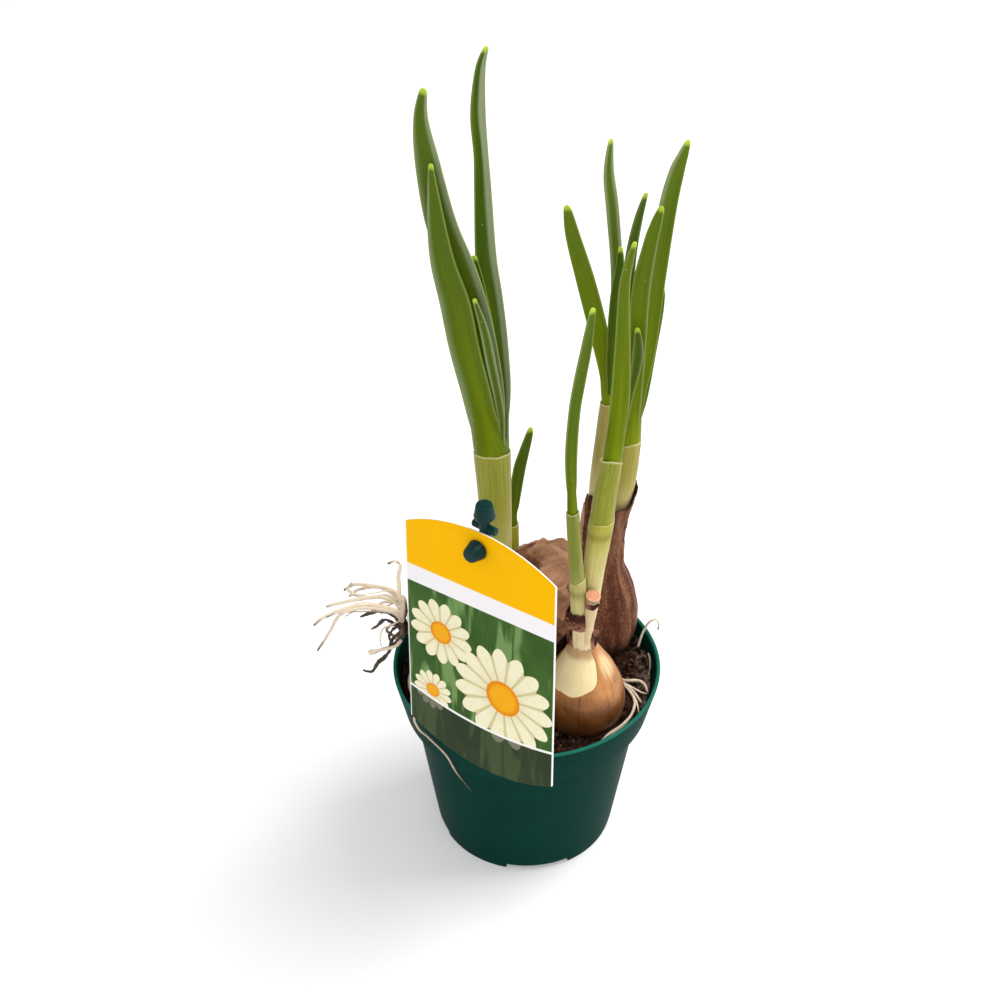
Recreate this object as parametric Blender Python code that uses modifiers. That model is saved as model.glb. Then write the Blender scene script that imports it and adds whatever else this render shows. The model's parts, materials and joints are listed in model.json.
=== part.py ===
"""Potted narcissus: three bulbs with their shoots, growing in a 12 cm pot, with a tag on a stake.

Metres, +Z up. The origin is the centre of the pot's underside, and the plant is seen along +Y.
The sizes and places below are in millimetres. They turn into metres where a mesh is made.
"""
import math

import bmesh
import bpy
from mathutils import Matrix, Vector

MM = 0.001
GAP = 0.35
WELD = 0.00001
UP = Vector((0, 0, 1))
EAST = Vector((1, 0, 0))
NORTH = Vector((0, 1, 0))
SMOOTH_ANGLE = math.radians(40)

# Pot: a turned plastic shell with a stepped collar and a foot ring
POT_HEIGHT = 93.0
RIM_RADIUS = 60.0
STEP_RADIUS = 55.7
WALL_TOP_RADIUS = 51.5
BASE_RADIUS = 40.8
STEP_HEIGHT = 73.0
WALL = 1.25
RIM_WALL = 1.8
CORNER = 0.6
STEP_SLOPE = 0.4
FLOOR_CORNER = 0.8
FLOOR_TOP = 4.4
FLOOR_UNDER = 3.2
FOOT_CORNER = 1.0
PAD_RADIUS = 11.0
FOOT_INNER_RADIUS = 34.2
POT_SIDES = 56
# Four notches are cut up through the foot ring: their length round it, depth and height
FOOT_NOTCHES = 4
FOOT_NOTCH = (27.0, 14.0, 2.8)
FOOT_NOTCH_TURN = -82.0
DRAINS = 6
DRAIN_RADIUS = 3.0
DRAIN_CIRCLE = 23.0
DRAIN_TURN = 10.0
DRAIN_SIDES = 12

# Soil: a gently mounded fill
SOIL_EDGE_HEIGHT = 83.6
SOIL_MOUND = 2.2
SOIL_REACH = 56.0
SOIL_RIPPLE = 0.35
SOIL_WAVE_X = (0.21, 0.4)
SOIL_WAVE_Y = (0.17, -0.8)
SOIL_SIDES = 40
SOIL_RINGS = (1.0, 0.82, 0.62, 0.4, 0.18)

# Tag: a thin plate with arched ends, leaning back on the peg of its stake
TAG_WIDTH = 75.0
TAG_SIDE = 102.0
TAG_ARCH = 10.0
TAG_THICKNESS = 0.7
TAG_CENTRE = Vector((-20.2, -58.1, 150.4))
TAG_TURN = math.radians(37.3)
TAG_LEAN = math.radians(3.0)
TAG_ROLL = math.radians(2.2)
TAG_HOLE_ABOVE_CENTRE = 53.1
TAG_HOLE_RADIUS = 2.75
TAG_ARCH_STEPS = 16
TAG_HOLE_SIDES = 16

# Stake: a leaning rod with a knob, a cross bar and a peg that holds the tag
STAKE_RADIUS = 2.3
STAKE_BEHIND_TAG = 4.0
STAKE_FOOT = Vector((-15.2, -41.6, 64.0))
STAKE_TOP = 20.6
STAKE_SEAT_LENGTH = 40.0
CROSS_BAR = (11.2, 3.6)
CROSS_BAR_ABOVE_PEG = 9.0
KNOB_TOP_RADIUS = 3.05
KNOB_RADIUS = 4.4
KNOB_LENGTH = 5.9
KNOB_SKIRT = 2.4
STAKE_SIDES = 12
KNOB_SIDES = 16
JOIN = 0.4

FINISHES = {
    "pot_plastic": ((0.012, 0.055, 0.048), 0.38),
    "stake_plastic": ((0.010, 0.060, 0.055), 0.34),
    "tag_plastic": ((0.85, 0.46, 0.03), 0.30),
    "compost": ((0.030, 0.018, 0.012), 0.95),
    "bulb_skin": ((0.26, 0.12, 0.06), 0.55),
    "pale_bulb_skin": ((0.42, 0.20, 0.08), 0.45),
    "sheath": ((0.42, 0.48, 0.12), 0.42),
    "leaf": ((0.10, 0.20, 0.03), 0.40),
    "root": ((0.72, 0.58, 0.42), 0.60),
    "dry_root": ((0.05, 0.04, 0.035), 0.80),
}

# Each shoot's sheath: stations up its middle (x, y, z) with half its width and half its depth
SHEATHS = {
    "left": [
        ((-10.6, 5.0, 128.4), 7.2, 6.0),
        ((-10.8, 4.8, 141.0), 7.4, 6.3),
        ((-11.5, 4.0, 157.0), 7.6, 6.5),
        ((-13.4, 3.0, 182.6), 7.7, 6.5),
        ((-15.3, 2.0, 207.5), 7.7, 6.4),
    ],
    "left_small": [
        ((-6.2, 14.4, 130.4), 2.6, 2.6),
        ((-6.4, 14.4, 146.0), 2.8, 2.8),
        ((-6.6, 14.0, 161.0), 2.7, 2.7),
    ],
    "front": [
        ((20.8, -26.1, 138.4), 2.6, 2.6),
        ((21.2, -26.7, 148.0), 3.3, 3.2),
        ((20.1, -28.0, 163.0), 3.2, 3.1),
        ((18.7, -28.5, 181.0), 2.9, 2.9),
        ((17.2, -29.0, 201.0), 2.7, 2.7),
    ],
    "centre": [
        ((25.5, -22.9, 138.4), 2.6, 2.6),
        ((26.4, -22.1, 150.0), 3.4, 3.4),
        ((27.3, -22.6, 168.0), 4.2, 4.1),
        ((29.2, -22.5, 188.0), 4.9, 4.4),
        ((30.4, -22.0, 203.0), 4.8, 4.3),
        ((32.4, -22.0, 221.0), 4.4, 4.2),
    ],
    "rear_left": [
        ((30.1, 18.6, 157.9), 3.8, 3.9),
        ((30.6, 18.2, 178.0), 4.3, 4.3),
        ((32.2, 18.0, 198.2), 4.6, 4.4),
        ((34.1, 18.0, 221.9), 4.5, 4.3),
    ],
    "rear_right": [
        ((38.4, 18.6, 157.9), 3.8, 3.9),
        ((41.0, 18.2, 178.0), 4.8, 4.4),
        ((42.7, 18.0, 201.4), 4.9, 4.4),
    ],
}
SHEATH_WALL = 0.65
SHEATH_HOLE = 14.0
SHEATH_SIDES = 14
SHEATH_EDGE = 0.5
# The left shoots stand in holes that run through these first stations of their sheaths
SEATED_STATIONS = 3
LEFT_SHEATH_SIDES = 20

# Each leaf: its sheath, its foot's place in the sheath's mouth (x, y), its free course above the
# mouth as (x, y, z, width), the radius of its channel, its foot's width and its thickness
LEAVES = {
    "leaf_left_back": ("left", (0.3, 0.5), [
        (-15.6, 1.0, 236.0, 11.3), (-18.4, -0.5, 260.0, 12.2), (-22.2, -2.0, 281.5, 13.0),
        (-27.8, -4.5, 301.5, 12.8), (-34.3, -7.5, 323.0, 10.9), (-38.7, -11.0, 349.5, 7.4),
        (-40.4, -13.0, 367.0, 3.6), (-38.8, -14.0, 379.0, 1.0)], 9.5, 9.4, 1.4),
    "leaf_left_front": ("left", (-0.5, -2.2), [
        (-17.7, -1.9, 222.5, 11.6), (-21.2, -3.6, 243.0, 12.4), (-25.5, -5.5, 265.5, 12.7),
        (-28.8, -8.0, 288.0, 12.4), (-33.0, -10.5, 306.5, 9.6), (-35.2, -13.0, 324.0, 6.6),
        (-36.6, -15.5, 343.5, 2.6), (-36.9, -16.0, 350.5, 1.0)], 8.5, 7.6, 1.4),
    "leaf_left_tall": ("left", (0.6, 4.3), [
        (-12.9, 8.4, 230.5, 10.0), (-13.6, 10.5, 253.5, 9.6), (-15.7, 12.5, 276.0, 9.0),
        (-17.8, 14.0, 294.0, 8.0), (-18.8, 16.0, 322.5, 6.1), (-19.4, 17.0, 337.5, 5.0),
        (-20.5, 17.5, 354.5, 5.2), (-19.4, 17.5, 371.5, 3.4), (-16.9, 17.5, 380.5, 1.0)],
        9.0, 6.4, 1.1),
    "leaf_left_short": ("left", (2.2, 2.6), [
        (-13.6, 4.6, 240.0, 4.8), (-16.4, 5.6, 262.0, 4.8), (-19.8, 6.5, 283.5, 4.2),
        (-22.2, 7.0, 299.0, 0.9)], 12.0, 4.0, 0.9),
    "leaf_left_sliver": ("left", (4.4, -2.3), [
        (-11.7, -4.0, 232.0, 2.6), (-15.3, -7.0, 257.0, 3.4), (-18.1, -9.0, 275.0, 3.0),
        (-21.9, -10.8, 290.5, 0.9)], 9.0, 1.3, 0.7),
    "leaf_left_small": ("left_small", (0.0, 0.0), [
        (-6.3, 14.2, 170.0, 4.2), (-4.0, 15.0, 189.5, 4.9), (-2.2, 15.3, 198.0, 4.2),
        (0.0, 15.8, 206.8, 2.8), (0.8, 16.0, 211.0, 1.0)], 6.0, 3.2, 1.4),
    "leaf_rear_left_bent": ("rear_left", (-0.1, -0.85), [
        (31.4, 17.0, 238.0, 5.0), (27.8, 17.0, 258.5, 7.4), (22.1, 16.0, 282.5, 7.4),
        (16.4, 14.0, 304.0, 5.4), (13.6, 13.0, 317.5, 1.0)], 8.0, 5.0, 1.0),
    "leaf_rear_left_tall": ("rear_left", (0.0, 0.85), [
        (35.4, 22.0, 255.5, 5.6), (34.4, 24.0, 282.5, 4.4), (31.7, 25.0, 309.0, 4.5),
        (29.7, 26.0, 325.0, 3.6), (30.2, 26.0, 339.0, 1.0)], 8.0, 5.2, 1.0),
    "leaf_rear_left_far": ("rear_left", (0.0, 2.5), [
        (38.0, 27.0, 252.0, 5.4), (40.1, 30.0, 283.5, 4.2), (42.4, 31.0, 300.5, 3.2),
        (45.3, 32.0, 312.5, 1.0)], 8.0, 3.2, 1.0),
    "leaf_rear_left_near": ("rear_left", (0.0, -2.5), [
        (33.8, 13.2, 249.5, 5.0), (33.9, 11.8, 276.0, 4.2), (34.8, 11.0, 290.0, 3.0),
        (34.7, 11.0, 300.5, 1.0)], 8.0, 3.2, 1.0),
    "leaf_centre": ("centre", (0.0, 0.3), [
        (34.6, -20.0, 247.5, 7.6), (34.9, -18.0, 270.0, 6.0), (34.8, -16.0, 284.5, 4.8),
        (34.9, -14.0, 298.5, 3.8), (36.4, -12.0, 307.5, 2.8), (38.4, -11.0, 315.5, 1.0)],
        7.0, 6.0, 1.8),
    "leaf_rear_right_near": ("rear_right", (0.0, -0.85), [
        (43.1, 12.0, 228.0, 5.7), (43.1, 10.0, 253.5, 6.4), (43.2, 8.0, 283.0, 6.7),
        (45.7, 7.0, 303.5, 5.0), (47.4, 6.0, 313.0, 3.8), (49.3, 6.0, 321.0, 1.0)],
        8.0, 5.2, 0.95),
    "leaf_rear_right_tall": ("rear_right", (0.0, 0.85), [
        (44.8, 16.0, 225.0, 5.4), (47.8, 18.0, 250.0, 6.6), (49.9, 20.0, 280.0, 7.1),
        (52.6, 22.0, 310.5, 7.2), (55.4, 23.0, 326.5, 6.0), (57.8, 23.5, 334.0, 3.8),
        (59.6, 24.0, 339.5, 1.0)], 8.0, 5.0, 1.0),
    "leaf_rear_right_far": ("rear_right", (0.2, 2.5), [
        (46.3, 20.4, 222.0, 5.2), (49.1, 23.5, 245.0, 5.7), (51.6, 25.0, 261.5, 4.6),
        (53.4, 26.0, 272.5, 1.0)], 8.0, 3.2, 1.0),
    "leaf_rear_right_short": ("rear_right", (-0.2, -2.65), [
        (42.8, 7.9, 230.0, 4.1), (43.1, 5.8, 251.5, 4.0), (42.8, 5.0, 261.5, 3.0),
        (42.2, 4.6, 267.5, 0.9)], 8.0, 2.4, 0.7),
    "leaf_front": ("front", (0.0, 0.0), [
        (15.8, -31.0, 229.5, 4.4), (16.4, -32.0, 252.0, 4.3), (17.9, -33.0, 267.5, 4.5),
        (20.1, -34.0, 284.5, 4.0), (22.1, -35.0, 301.5, 1.0)], 4.5, 3.2, 1.5),
}
# How far each blade turns from its foot to its tip, in degrees
LEAF_TWIST = {
    "leaf_left_back": -22, "leaf_left_front": -24, "leaf_left_tall": 42, "leaf_left_small": 30,
    "leaf_rear_left_bent": -28, "leaf_rear_left_tall": 46, "leaf_rear_left_far": 34,
    "leaf_rear_left_near": -30, "leaf_centre": 20, "leaf_rear_right_near": -18,
    "leaf_rear_right_tall": 30, "leaf_rear_right_far": 38, "leaf_rear_right_short": -14,
    "leaf_front": 36,
}
TWIST_EASE = 1.2
# A blade is thickest below its middle and thin at its margins and tip
LEAF_MARGIN = 0.65
LEAF_LEAST = 0.66
LEAF_SWELL = 0.5
LEAF_TAPER = 0.5
TIP_WIDTH = 0.8
LEAF_COLUMNS = 5
LEAF_STATIONS = 12
STATION_EASE = 1.25
WIDEST_TURN = 1.3

# Upright bulbs: stations up the middle (x, y, z) with half the width and half the depth
FRONT_BULB = [
    ((24.5, -22.0, 74.0), 7.0, 7.0), ((24.5, -22.0, 78.0), 12.6, 12.6),
    ((24.5, -22.0, 84.0), 16.9, 16.9), ((24.5, -22.0, 92.0), 18.5, 18.5),
    ((24.5, -22.1, 100.0), 17.6, 17.6), ((24.4, -22.4, 107.0), 15.0, 15.0),
    ((24.4, -22.9, 113.0), 12.3, 12.3), ((24.2, -23.4, 119.0), 9.0, 8.8),
    ((23.4, -24.0, 127.0), 5.6, 5.4), ((23.2, -24.5, 136.0), 6.6, 6.4),
    ((23.5, -24.5, 142.0), 7.5, 7.4), ((23.7, -24.5, 147.0), 8.2, 8.2),
]
FRONT_CUP = 9.0
REAR_BULB = [
    ((32.6, 23.0, 80.0), 7.0, 7.0), ((32.6, 23.0, 83.5), 12.0, 12.0),
    ((32.6, 23.0, 89.0), 15.7, 15.7), ((32.6, 23.0, 97.0), 17.9, 17.9),
    ((32.4, 23.0, 106.0), 18.1, 18.1), ((32.1, 22.7, 115.0), 17.1, 17.0),
    ((32.5, 22.3, 124.0), 14.0, 14.0), ((32.6, 21.6, 133.0), 10.8, 10.8),
    ((33.0, 20.8, 142.0), 9.9, 9.4), ((33.4, 19.8, 151.0), 9.2, 8.4),
    ((34.3, 19.0, 159.0), 9.7, 7.8), ((35.1, 18.6, 166.0), 10.3, 7.9),
    ((35.9, 18.4, 172.0), 11.3, 8.4),
]
REAR_CUP = 14.6
LEFT_CUP = 4.0
SKIN = 0.8
BULB_SIDES = 24
# How far a neck's torn edge rises and falls, and where round it
FRONT_EDGE = (1.2, 0.6)
REAR_EDGE = (3.0, 2.2)
LEFT_EDGE = (1.6, 1.1)
# An upright bulb sits in the soil up to this many of its stations
SUNK_STATIONS = 6

# The third bulb lies on its side, with its root plate at the left and its crumpled end at the right
LEFT_BULB = [
    ((-52.5, 3.0, 117.5), 9.5, 9.5), ((-48.0, 3.0, 116.0), 15.5, 15.5),
    ((-40.0, 3.0, 114.0), 21.5, 21.5), ((-30.0, 3.0, 112.5), 25.4, 25.4),
    ((-20.0, 3.0, 113.0), 26.6, 26.6), ((-9.0, 4.5, 117.0), 23.5, 27.4),
    ((2.0, 6.0, 123.5), 17.0, 29.8), ((11.0, 6.0, 128.5), 11.5, 28.5),
    ((17.5, 5.5, 131.0), 7.5, 23.2), ((21.5, 5.0, 132.5), 4.0, 14.5),
]
FOLD_LEAST = 0.004
FOLD_GROWTH = 0.012
FOLD_FIRST = 5
FOLD_ROWS = 3
LEFT_COLLAR = [
    ((-9.6, 7.6, 126.0), 11.6, 14.6), ((-9.6, 7.6, 138.0), 11.2, 14.2),
    ((-9.6, 7.6, 147.0), 10.0, 13.0), ((-9.8, 7.6, 152.0), 9.8, 12.6),
]

# A cut-off old stalk stands at the front neck's right edge
STUB_FOOT = Vector((26.2, -28.6, 137.0))
STUB_TOP = Vector((26.9, -31.2, 158.5))
STUB_RADIUS = 2.9
STUB_WAIST = 0.9
STUB_SIDES = 12

# Roots: courses of points (x, y, z) with the strand's radius
ROOT_TAPER = 0.45
CROWN_SIDES = 10
CROWN_RINGS = 6
PALE_CROWN = ((-55.1, 3.0, 121.6), (2.2, 7.0, 5.2))
PALE_ROOTS = [
    ([(-55, 2, 123), (-56, 1, 130), (-56, 0, 137), (-56, 0, 144), (-55, 0, 149), (-57, 0, 151.5),
      (-60.5, 0, 150)], 0.9),
    ([(-55, 4, 123), (-57, 5, 128), (-61, 6, 130.5), (-68, 7, 131.5), (-76, 8, 131.5),
      (-81, 8, 128)], 0.95),
    ([(-55, 6, 121), (-58, 6, 124), (-62, 6, 126.5), (-70, 5.5, 126), (-76, 6, 127.5),
      (-79, 6, 130.5), (-77, 7, 133.5)], 0.9),
    ([(-55, 0, 122), (-58, 0, 128), (-64, -1, 132), (-72, -2, 132), (-83, -3, 130),
      (-88, -3, 128)], 0.95),
    ([(-55, -1, 121), (-58, -4, 127), (-64, -6, 131), (-71, -8, 134), (-79, -10, 133),
      (-88, -12, 130), (-93, -12, 125)], 1.0),
    ([(-55, -2, 119), (-58, -6, 127), (-64, -9, 132), (-73, -11.5, 134.5), (-81, -14, 133),
      (-86, -14, 123), (-92, -14, 112)], 0.85),
    ([(-55, 8, 120), (-59, 11, 123), (-66, 15, 124), (-75, 17, 121), (-80, 19, 115)], 0.85),
    ([(-55, 7, 118), (-58, 11, 118), (-64, 14, 116), (-69, 18, 109)], 0.8),
]
DRY_CROWN = ((-54.9, 1.0, 112.6), (2.0, 5.5, 3.4))
DRY_ROOTS = [
    ([(-55.5, 3, 113.5), (-60, 4, 118), (-66, 4, 119.5), (-74, 3, 117)], 1.15),
    ([(-55.5, -1, 113.5), (-59.5, -2, 118), (-63, -2.5, 120), (-66, -3, 117), (-69, -3, 115)], 0.8),
    ([(-55.5, 2, 113), (-60.5, 3, 112), (-62.5, 3, 109), (-60, 3.5, 105.5), (-57.5, 3, 102)], 0.6),
    ([(-55.5, -1, 112), (-59.5, -3, 109), (-61.5, -5, 103), (-66, -7, 99), (-69, -8, 94.5),
      (-73, -9, 96.0)], 0.9),
    ([(-55.5, -2, 111.5), (-59.5, -4, 106.5), (-65, -4.5, 104), (-70, -5, 101.5)], 0.75),
    ([(-55.5, 4, 112), (-60, 7, 106), (-62, 9, 99.5), (-61.5, 11, 95.0)], 0.7),
]
# These lie on the soil: points (x, y, height above the soil)
FRONT_CROWN = ((42.3, -5.6, 85.3), (2.3, 2.3, 1.8))
FRONT_ROOTS = [
    ([(42.3, -5.4, 0.6), (46.0, -6.2, 1.3), (50.3, -6.4, 1.4), (53.0, -9.0, 0.9),
      (54.0, -13.5, 0.3)], 0.7),
    ([(42.3, -5.8, 0.4), (46.4, -10.6, 0.6), (48.8, -14.6, 0.4), (51.0, -19.0, 0)], 0.6),
    ([(42.3, -6.2, 0.3), (46.4, -12.6, 0), (47.8, -18.9, 0), (45.7, -26.3, 0), (41.3, -32.6, 0),
      (35.4, -38.0, 0), (31.6, -42.4, 0)], 0.7),
]
SOIL_STRAND = ([(-52.0, -1.0, 0), (-52.5, -8.0, 0), (-50.5, -16.0, 0), (-46.0, -25.0, 0)], 0.85)
# These pass over the pot's rim: points (x, y, z)
RIM_ROOT = ([(51.4, 17.4, 85.2), (52.4, 19.0, 89.6), (54.3, 20.9, 94.0), (56.4, 20.6, 98.5),
             (59.2, 20.4, 100.0), (60.5, 20.4, 97.2), (60.2, 20.4, 93.7)], 0.6)
HANGING_ROOT = ([(-43.4, -27.0, 84.7), (-45.6, -30.4, 90.0), (-46.8, -32.6, 94.2),
                 (-48.6, -35.2, 95.1), (-49.2, -37.4, 92.8), (-46.9, -39.9, 89.4),
                 (-43.4, -41.6, 87.0), (-35.9, -46.9, 82.0), (-32.7, -47.3, 75.0),
                 (-30.9, -43.2, 66.0), (-24.8, -43.8, 55.6)], 0.5)


def clear_objects():
    for item in list(bpy.data.objects):
        bpy.data.objects.remove(item, do_unlink=True)


def make_collection(name):
    collection = bpy.data.collections.new(name)
    bpy.context.scene.collection.children.link(collection)
    return collection


def make_finish(name):
    colour, roughness = FINISHES[name]
    material = bpy.data.materials.new(name)
    material.use_nodes = True
    shader = material.node_tree.nodes["Principled BSDF"]
    shader.inputs["Base Color"].default_value = (*colour, 1.0)
    shader.inputs["Roughness"].default_value = roughness
    shader.inputs["Metallic"].default_value = 0.0
    return material


def place(name, mesh, finish, collection):
    mesh.name = name
    item = bpy.data.objects.new(name, mesh)
    mesh.materials.clear()
    mesh.materials.append(finishes[finish])
    collection.objects.link(item)
    return item


def mesh_from(name, form):
    bmesh.ops.recalc_face_normals(form, faces=form.faces)
    mesh = bpy.data.meshes.new(name)
    form.to_mesh(mesh)
    form.free()
    mesh.shade_smooth()
    mesh.set_sharp_from_angle(angle=SMOOTH_ANGLE)
    return mesh


def baked(item):
    """The object's evaluated mesh in world space, welded."""
    bpy.context.view_layer.update()
    graph = bpy.context.evaluated_depsgraph_get()
    mesh = bpy.data.meshes.new_from_object(item.evaluated_get(graph))
    mesh.transform(item.matrix_world)
    form = bmesh.new()
    form.from_mesh(mesh)
    bmesh.ops.remove_doubles(form, verts=form.verts, dist=WELD)
    form.to_mesh(mesh)
    form.free()
    return mesh


def solidified(item, finish, collection):
    """Replace an object with modifiers or a curve by its own plain mesh."""
    name = item.name
    mesh = baked(item)
    bpy.data.objects.remove(item, do_unlink=True)
    solid = place(name, mesh, finish, collection)
    solid.name = name
    return solid


def combined(item, others, operation, finish, collection):
    """Join others to the object, or cut them from it, in one Boolean, and apply it."""
    tools = make_collection(item.name + "_tools")
    for other in others:
        for owner in list(other.users_collection):
            owner.objects.unlink(other)
        tools.objects.link(other)
    boolean = item.modifiers.new("join", "BOOLEAN")
    boolean.operand_type = "COLLECTION"
    boolean.collection = tools
    boolean.operation = operation
    boolean.solver = "EXACT"
    solid = solidified(item, finish, collection)
    for other in list(tools.objects):
        bpy.data.objects.remove(other, do_unlink=True)
    bpy.data.collections.remove(tools)
    return solid


def along(values, t):
    """The value at t, from 0 to 1, on a smooth curve through the listed vectors or numbers."""
    last = len(values) - 1
    where = min(max(t, 0.0), 1.0) * last
    index = min(int(where), last - 1)
    u = where - index
    before = values[max(index - 1, 0)]
    start = values[index]
    end = values[index + 1]
    after = values[min(index + 2, last)]
    slope = (end - before) * 0.5
    next_slope = (after - start) * 0.5
    return (
        start * (2 * u ** 3 - 3 * u ** 2 + 1)
        + slope * (u ** 3 - 2 * u ** 2 + u)
        + end * (3 * u ** 2 - 2 * u ** 3)
        + next_slope * (u ** 3 - u ** 2)
    )


def lofted(name, rings, half=None):
    """A closed mesh through rings of points, given in millimetres.

    From corner number half on, the quads are split the other way, so that the two faces
    of a thin blade are split alike.
    """
    form = bmesh.new()
    rows = [[form.verts.new(point * MM) for point in ring] for ring in rings]
    count = len(rings[0])
    for low, high in zip(rows, rows[1:]):
        for i in range(count):
            j = (i + 1) % count
            if half is not None and i >= half:
                form.faces.new((low[i], low[j], high[i]))
                form.faces.new((low[j], high[j], high[i]))
            else:
                form.faces.new((low[i], low[j], high[j]))
                form.faces.new((low[i], high[j], high[i]))
    for row in (rows[0], rows[-1]):
        if half is None:
            middle = form.verts.new(sum((v.co for v in row), Vector()) / count)
            for i in range(count):
                form.faces.new((row[i], row[(i + 1) % count], middle))
        else:
            cap_blade(form, row)
    return mesh_from(name, form)


def cap_blade(form, row):
    """Close a blade's end, joining each corner of one face to its partner on the other."""
    count = len(row)
    for i in range(count // 2 - 1):
        j = count - 1 - i
        form.faces.new((row[i], row[i + 1], row[j - 1]))
        form.faces.new((row[i], row[j - 1], row[j]))


def ellipse(centre, side, other, half_side, half_other, sides, bump=None):
    points = []
    for i in range(sides):
        turn = 2 * math.pi * i / sides
        reach = 1.0 + (bump(turn) if bump else 0.0)
        points.append(
            centre
            + side * (half_side * reach * math.cos(turn))
            + other * (half_other * reach * math.sin(turn))
        )
    return points


def cup(name, stations, sides, wall, depth, ragged):
    """A turned form up its stations, hollow from the top down to the given depth.

    ragged(turn) gives how far the mouth's edge stands above the last station.
    """
    rings = [ellipse(Vector(c), EAST, NORTH, a, b, sides) for c, a, b in stations]
    centre = Vector(stations[-1][0])
    half_side = stations[-1][1]
    half_other = stations[-1][2]
    lift = [UP * ragged(2 * math.pi * i / sides) for i in range(sides)]
    rings[-1] = [point + up for point, up in zip(rings[-1], lift)]
    lip = ellipse(centre, EAST, NORTH, half_side - wall, half_other - wall, sides)
    rings.append([point + up for point, up in zip(lip, lift)])
    middles = [Vector(c) for c, _, _ in stations]
    for part in (0.5, 1.0):
        level = centre.z - depth * part
        above = next(i for i, m in enumerate(middles) if m.z >= level)
        share = (level - middles[above - 1].z) / (middles[above].z - middles[above - 1].z)
        middle = middles[above - 1].lerp(middles[above], share)
        a = stations[above - 1][1] * (1 - share) + stations[above][1] * share
        b = stations[above - 1][2] * (1 - share) + stations[above][2] * share
        rings.append(ellipse(middle, EAST, NORTH, a - wall, b - wall, sides))
    return lofted(name, rings)


def ragged_edge(height, phase):
    def lift(turn):
        broad = math.sin(3 * turn + phase)
        fine = math.sin(7 * turn + 2 * phase)
        return height * (0.6 * broad + 0.4 * fine)
    return lift


def strand(name, course, radius, finish, collection, steps=2):
    """A root: a round strand through its points, thinner at the tip, as a curve with caps."""
    points = [Vector(point) for point in course]
    count = (len(points) - 1) * steps
    curve = bpy.data.curves.new(name, "CURVE")
    curve.dimensions = "3D"
    curve.bevel_depth = radius * MM
    curve.bevel_resolution = 1
    curve.use_fill_caps = True
    spline = curve.splines.new("POLY")
    spline.points.add(count)
    for i in range(count + 1):
        t = i / count
        spline.points[i].co = (*(along(points, t) * MM), 1.0)
        spline.points[i].radius = 1.0 - ROOT_TAPER * t ** 3
    item = bpy.data.objects.new(name, curve)
    collection.objects.link(item)
    return solidified(item, finish, collection)


def laid(course, radius):
    """A strand's points, lifted from heights above the soil to heights above the pot's foot."""
    points = [(x, y, soil_height(x, y) + GAP + radius + lift) for x, y, lift in course]
    return points, radius


def root_tuft(name, crown, roots, finish, collection):
    """Strands that spring from one flattened crown, joined in one body."""
    centre, radii = crown
    form = bmesh.new()
    bmesh.ops.create_uvsphere(form, u_segments=CROWN_SIDES, v_segments=CROWN_RINGS, radius=MM)
    bmesh.ops.scale(form, vec=Vector(radii), verts=form.verts)
    bmesh.ops.translate(form, vec=Vector(centre) * MM, verts=form.verts)
    body = place(name, mesh_from(name, form), finish, collection)
    strands = [
        strand(f"{name}_strand_{i}", course, radius, finish, collection)
        for i, (course, radius) in enumerate(roots)
    ]
    return combined(body, strands, "UNION", finish, collection)


def turned(name, profile, sides, finish, collection):
    """A profile of (radius, height) points turned round +Z, from the top inside to the bottom."""
    form = bmesh.new()
    verts = [form.verts.new((r * MM, 0, z * MM)) for r, z in profile]
    for first, second in zip(verts, verts[1:]):
        form.edges.new((first, second))
    mesh = bpy.data.meshes.new(name)
    form.to_mesh(mesh)
    form.free()
    item = place(name, mesh, finish, collection)
    screw = item.modifiers.new("turn", "SCREW")
    screw.angle = 2 * math.pi
    screw.steps = sides
    screw.render_steps = sides
    screw.use_merge_vertices = True
    screw.merge_threshold = WELD
    screw.use_normal_calculate = True
    return item


def cylinder(name, radius, length, sides, finish, collection, tip=None):
    """A cylinder, or a cone where tip is its upper radius, standing on its own origin."""
    form = bmesh.new()
    bmesh.ops.create_cone(
        form, cap_ends=True, segments=sides, radius1=radius * MM,
        radius2=(radius if tip is None else tip) * MM, depth=length * MM,
    )
    bmesh.ops.translate(form, vec=Vector((0, 0, length * MM / 2)), verts=form.verts)
    return place(name, mesh_from(name, form), finish, collection)


def stand_on(item, foot, direction):
    turn = UP.rotation_difference(direction.normalized())
    item.matrix_world = Matrix.Translation(foot * MM) @ turn.to_matrix().to_4x4()
    return item


def tag_frame():
    """The tag's own axes: across, up its face, and out of its face."""
    out = Vector((-math.sin(TAG_TURN), -math.cos(TAG_TURN), 0))
    level = Vector((math.cos(TAG_TURN), -math.sin(TAG_TURN), 0))
    rise = UP * math.cos(TAG_LEAN) - out * math.sin(TAG_LEAN)
    face = out * math.cos(TAG_LEAN) + UP * math.sin(TAG_LEAN)
    across = level * math.cos(TAG_ROLL) + rise * math.sin(TAG_ROLL)
    up = rise * math.cos(TAG_ROLL) - level * math.sin(TAG_ROLL)
    return across, up, face


def wall_radius(z):
    return BASE_RADIUS + (WALL_TOP_RADIUS - BASE_RADIUS) * z / STEP_HEIGHT


def inner_radius(z):
    """The pot's inner radius below its step, between the flats of its sides."""
    low = wall_radius(FLOOR_TOP) - WALL
    high = WALL_TOP_RADIUS - WALL
    floor = FLOOR_TOP + FLOOR_CORNER
    share = (z - floor) / (STEP_HEIGHT + WALL - floor)
    return (low + (high - low) * share) * math.cos(math.pi / POT_SIDES)


def collar_radius(z):
    share = (z - STEP_HEIGHT) / (POT_HEIGHT - STEP_HEIGHT)
    return STEP_RADIUS + (RIM_RADIUS - STEP_RADIUS) * share


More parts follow.
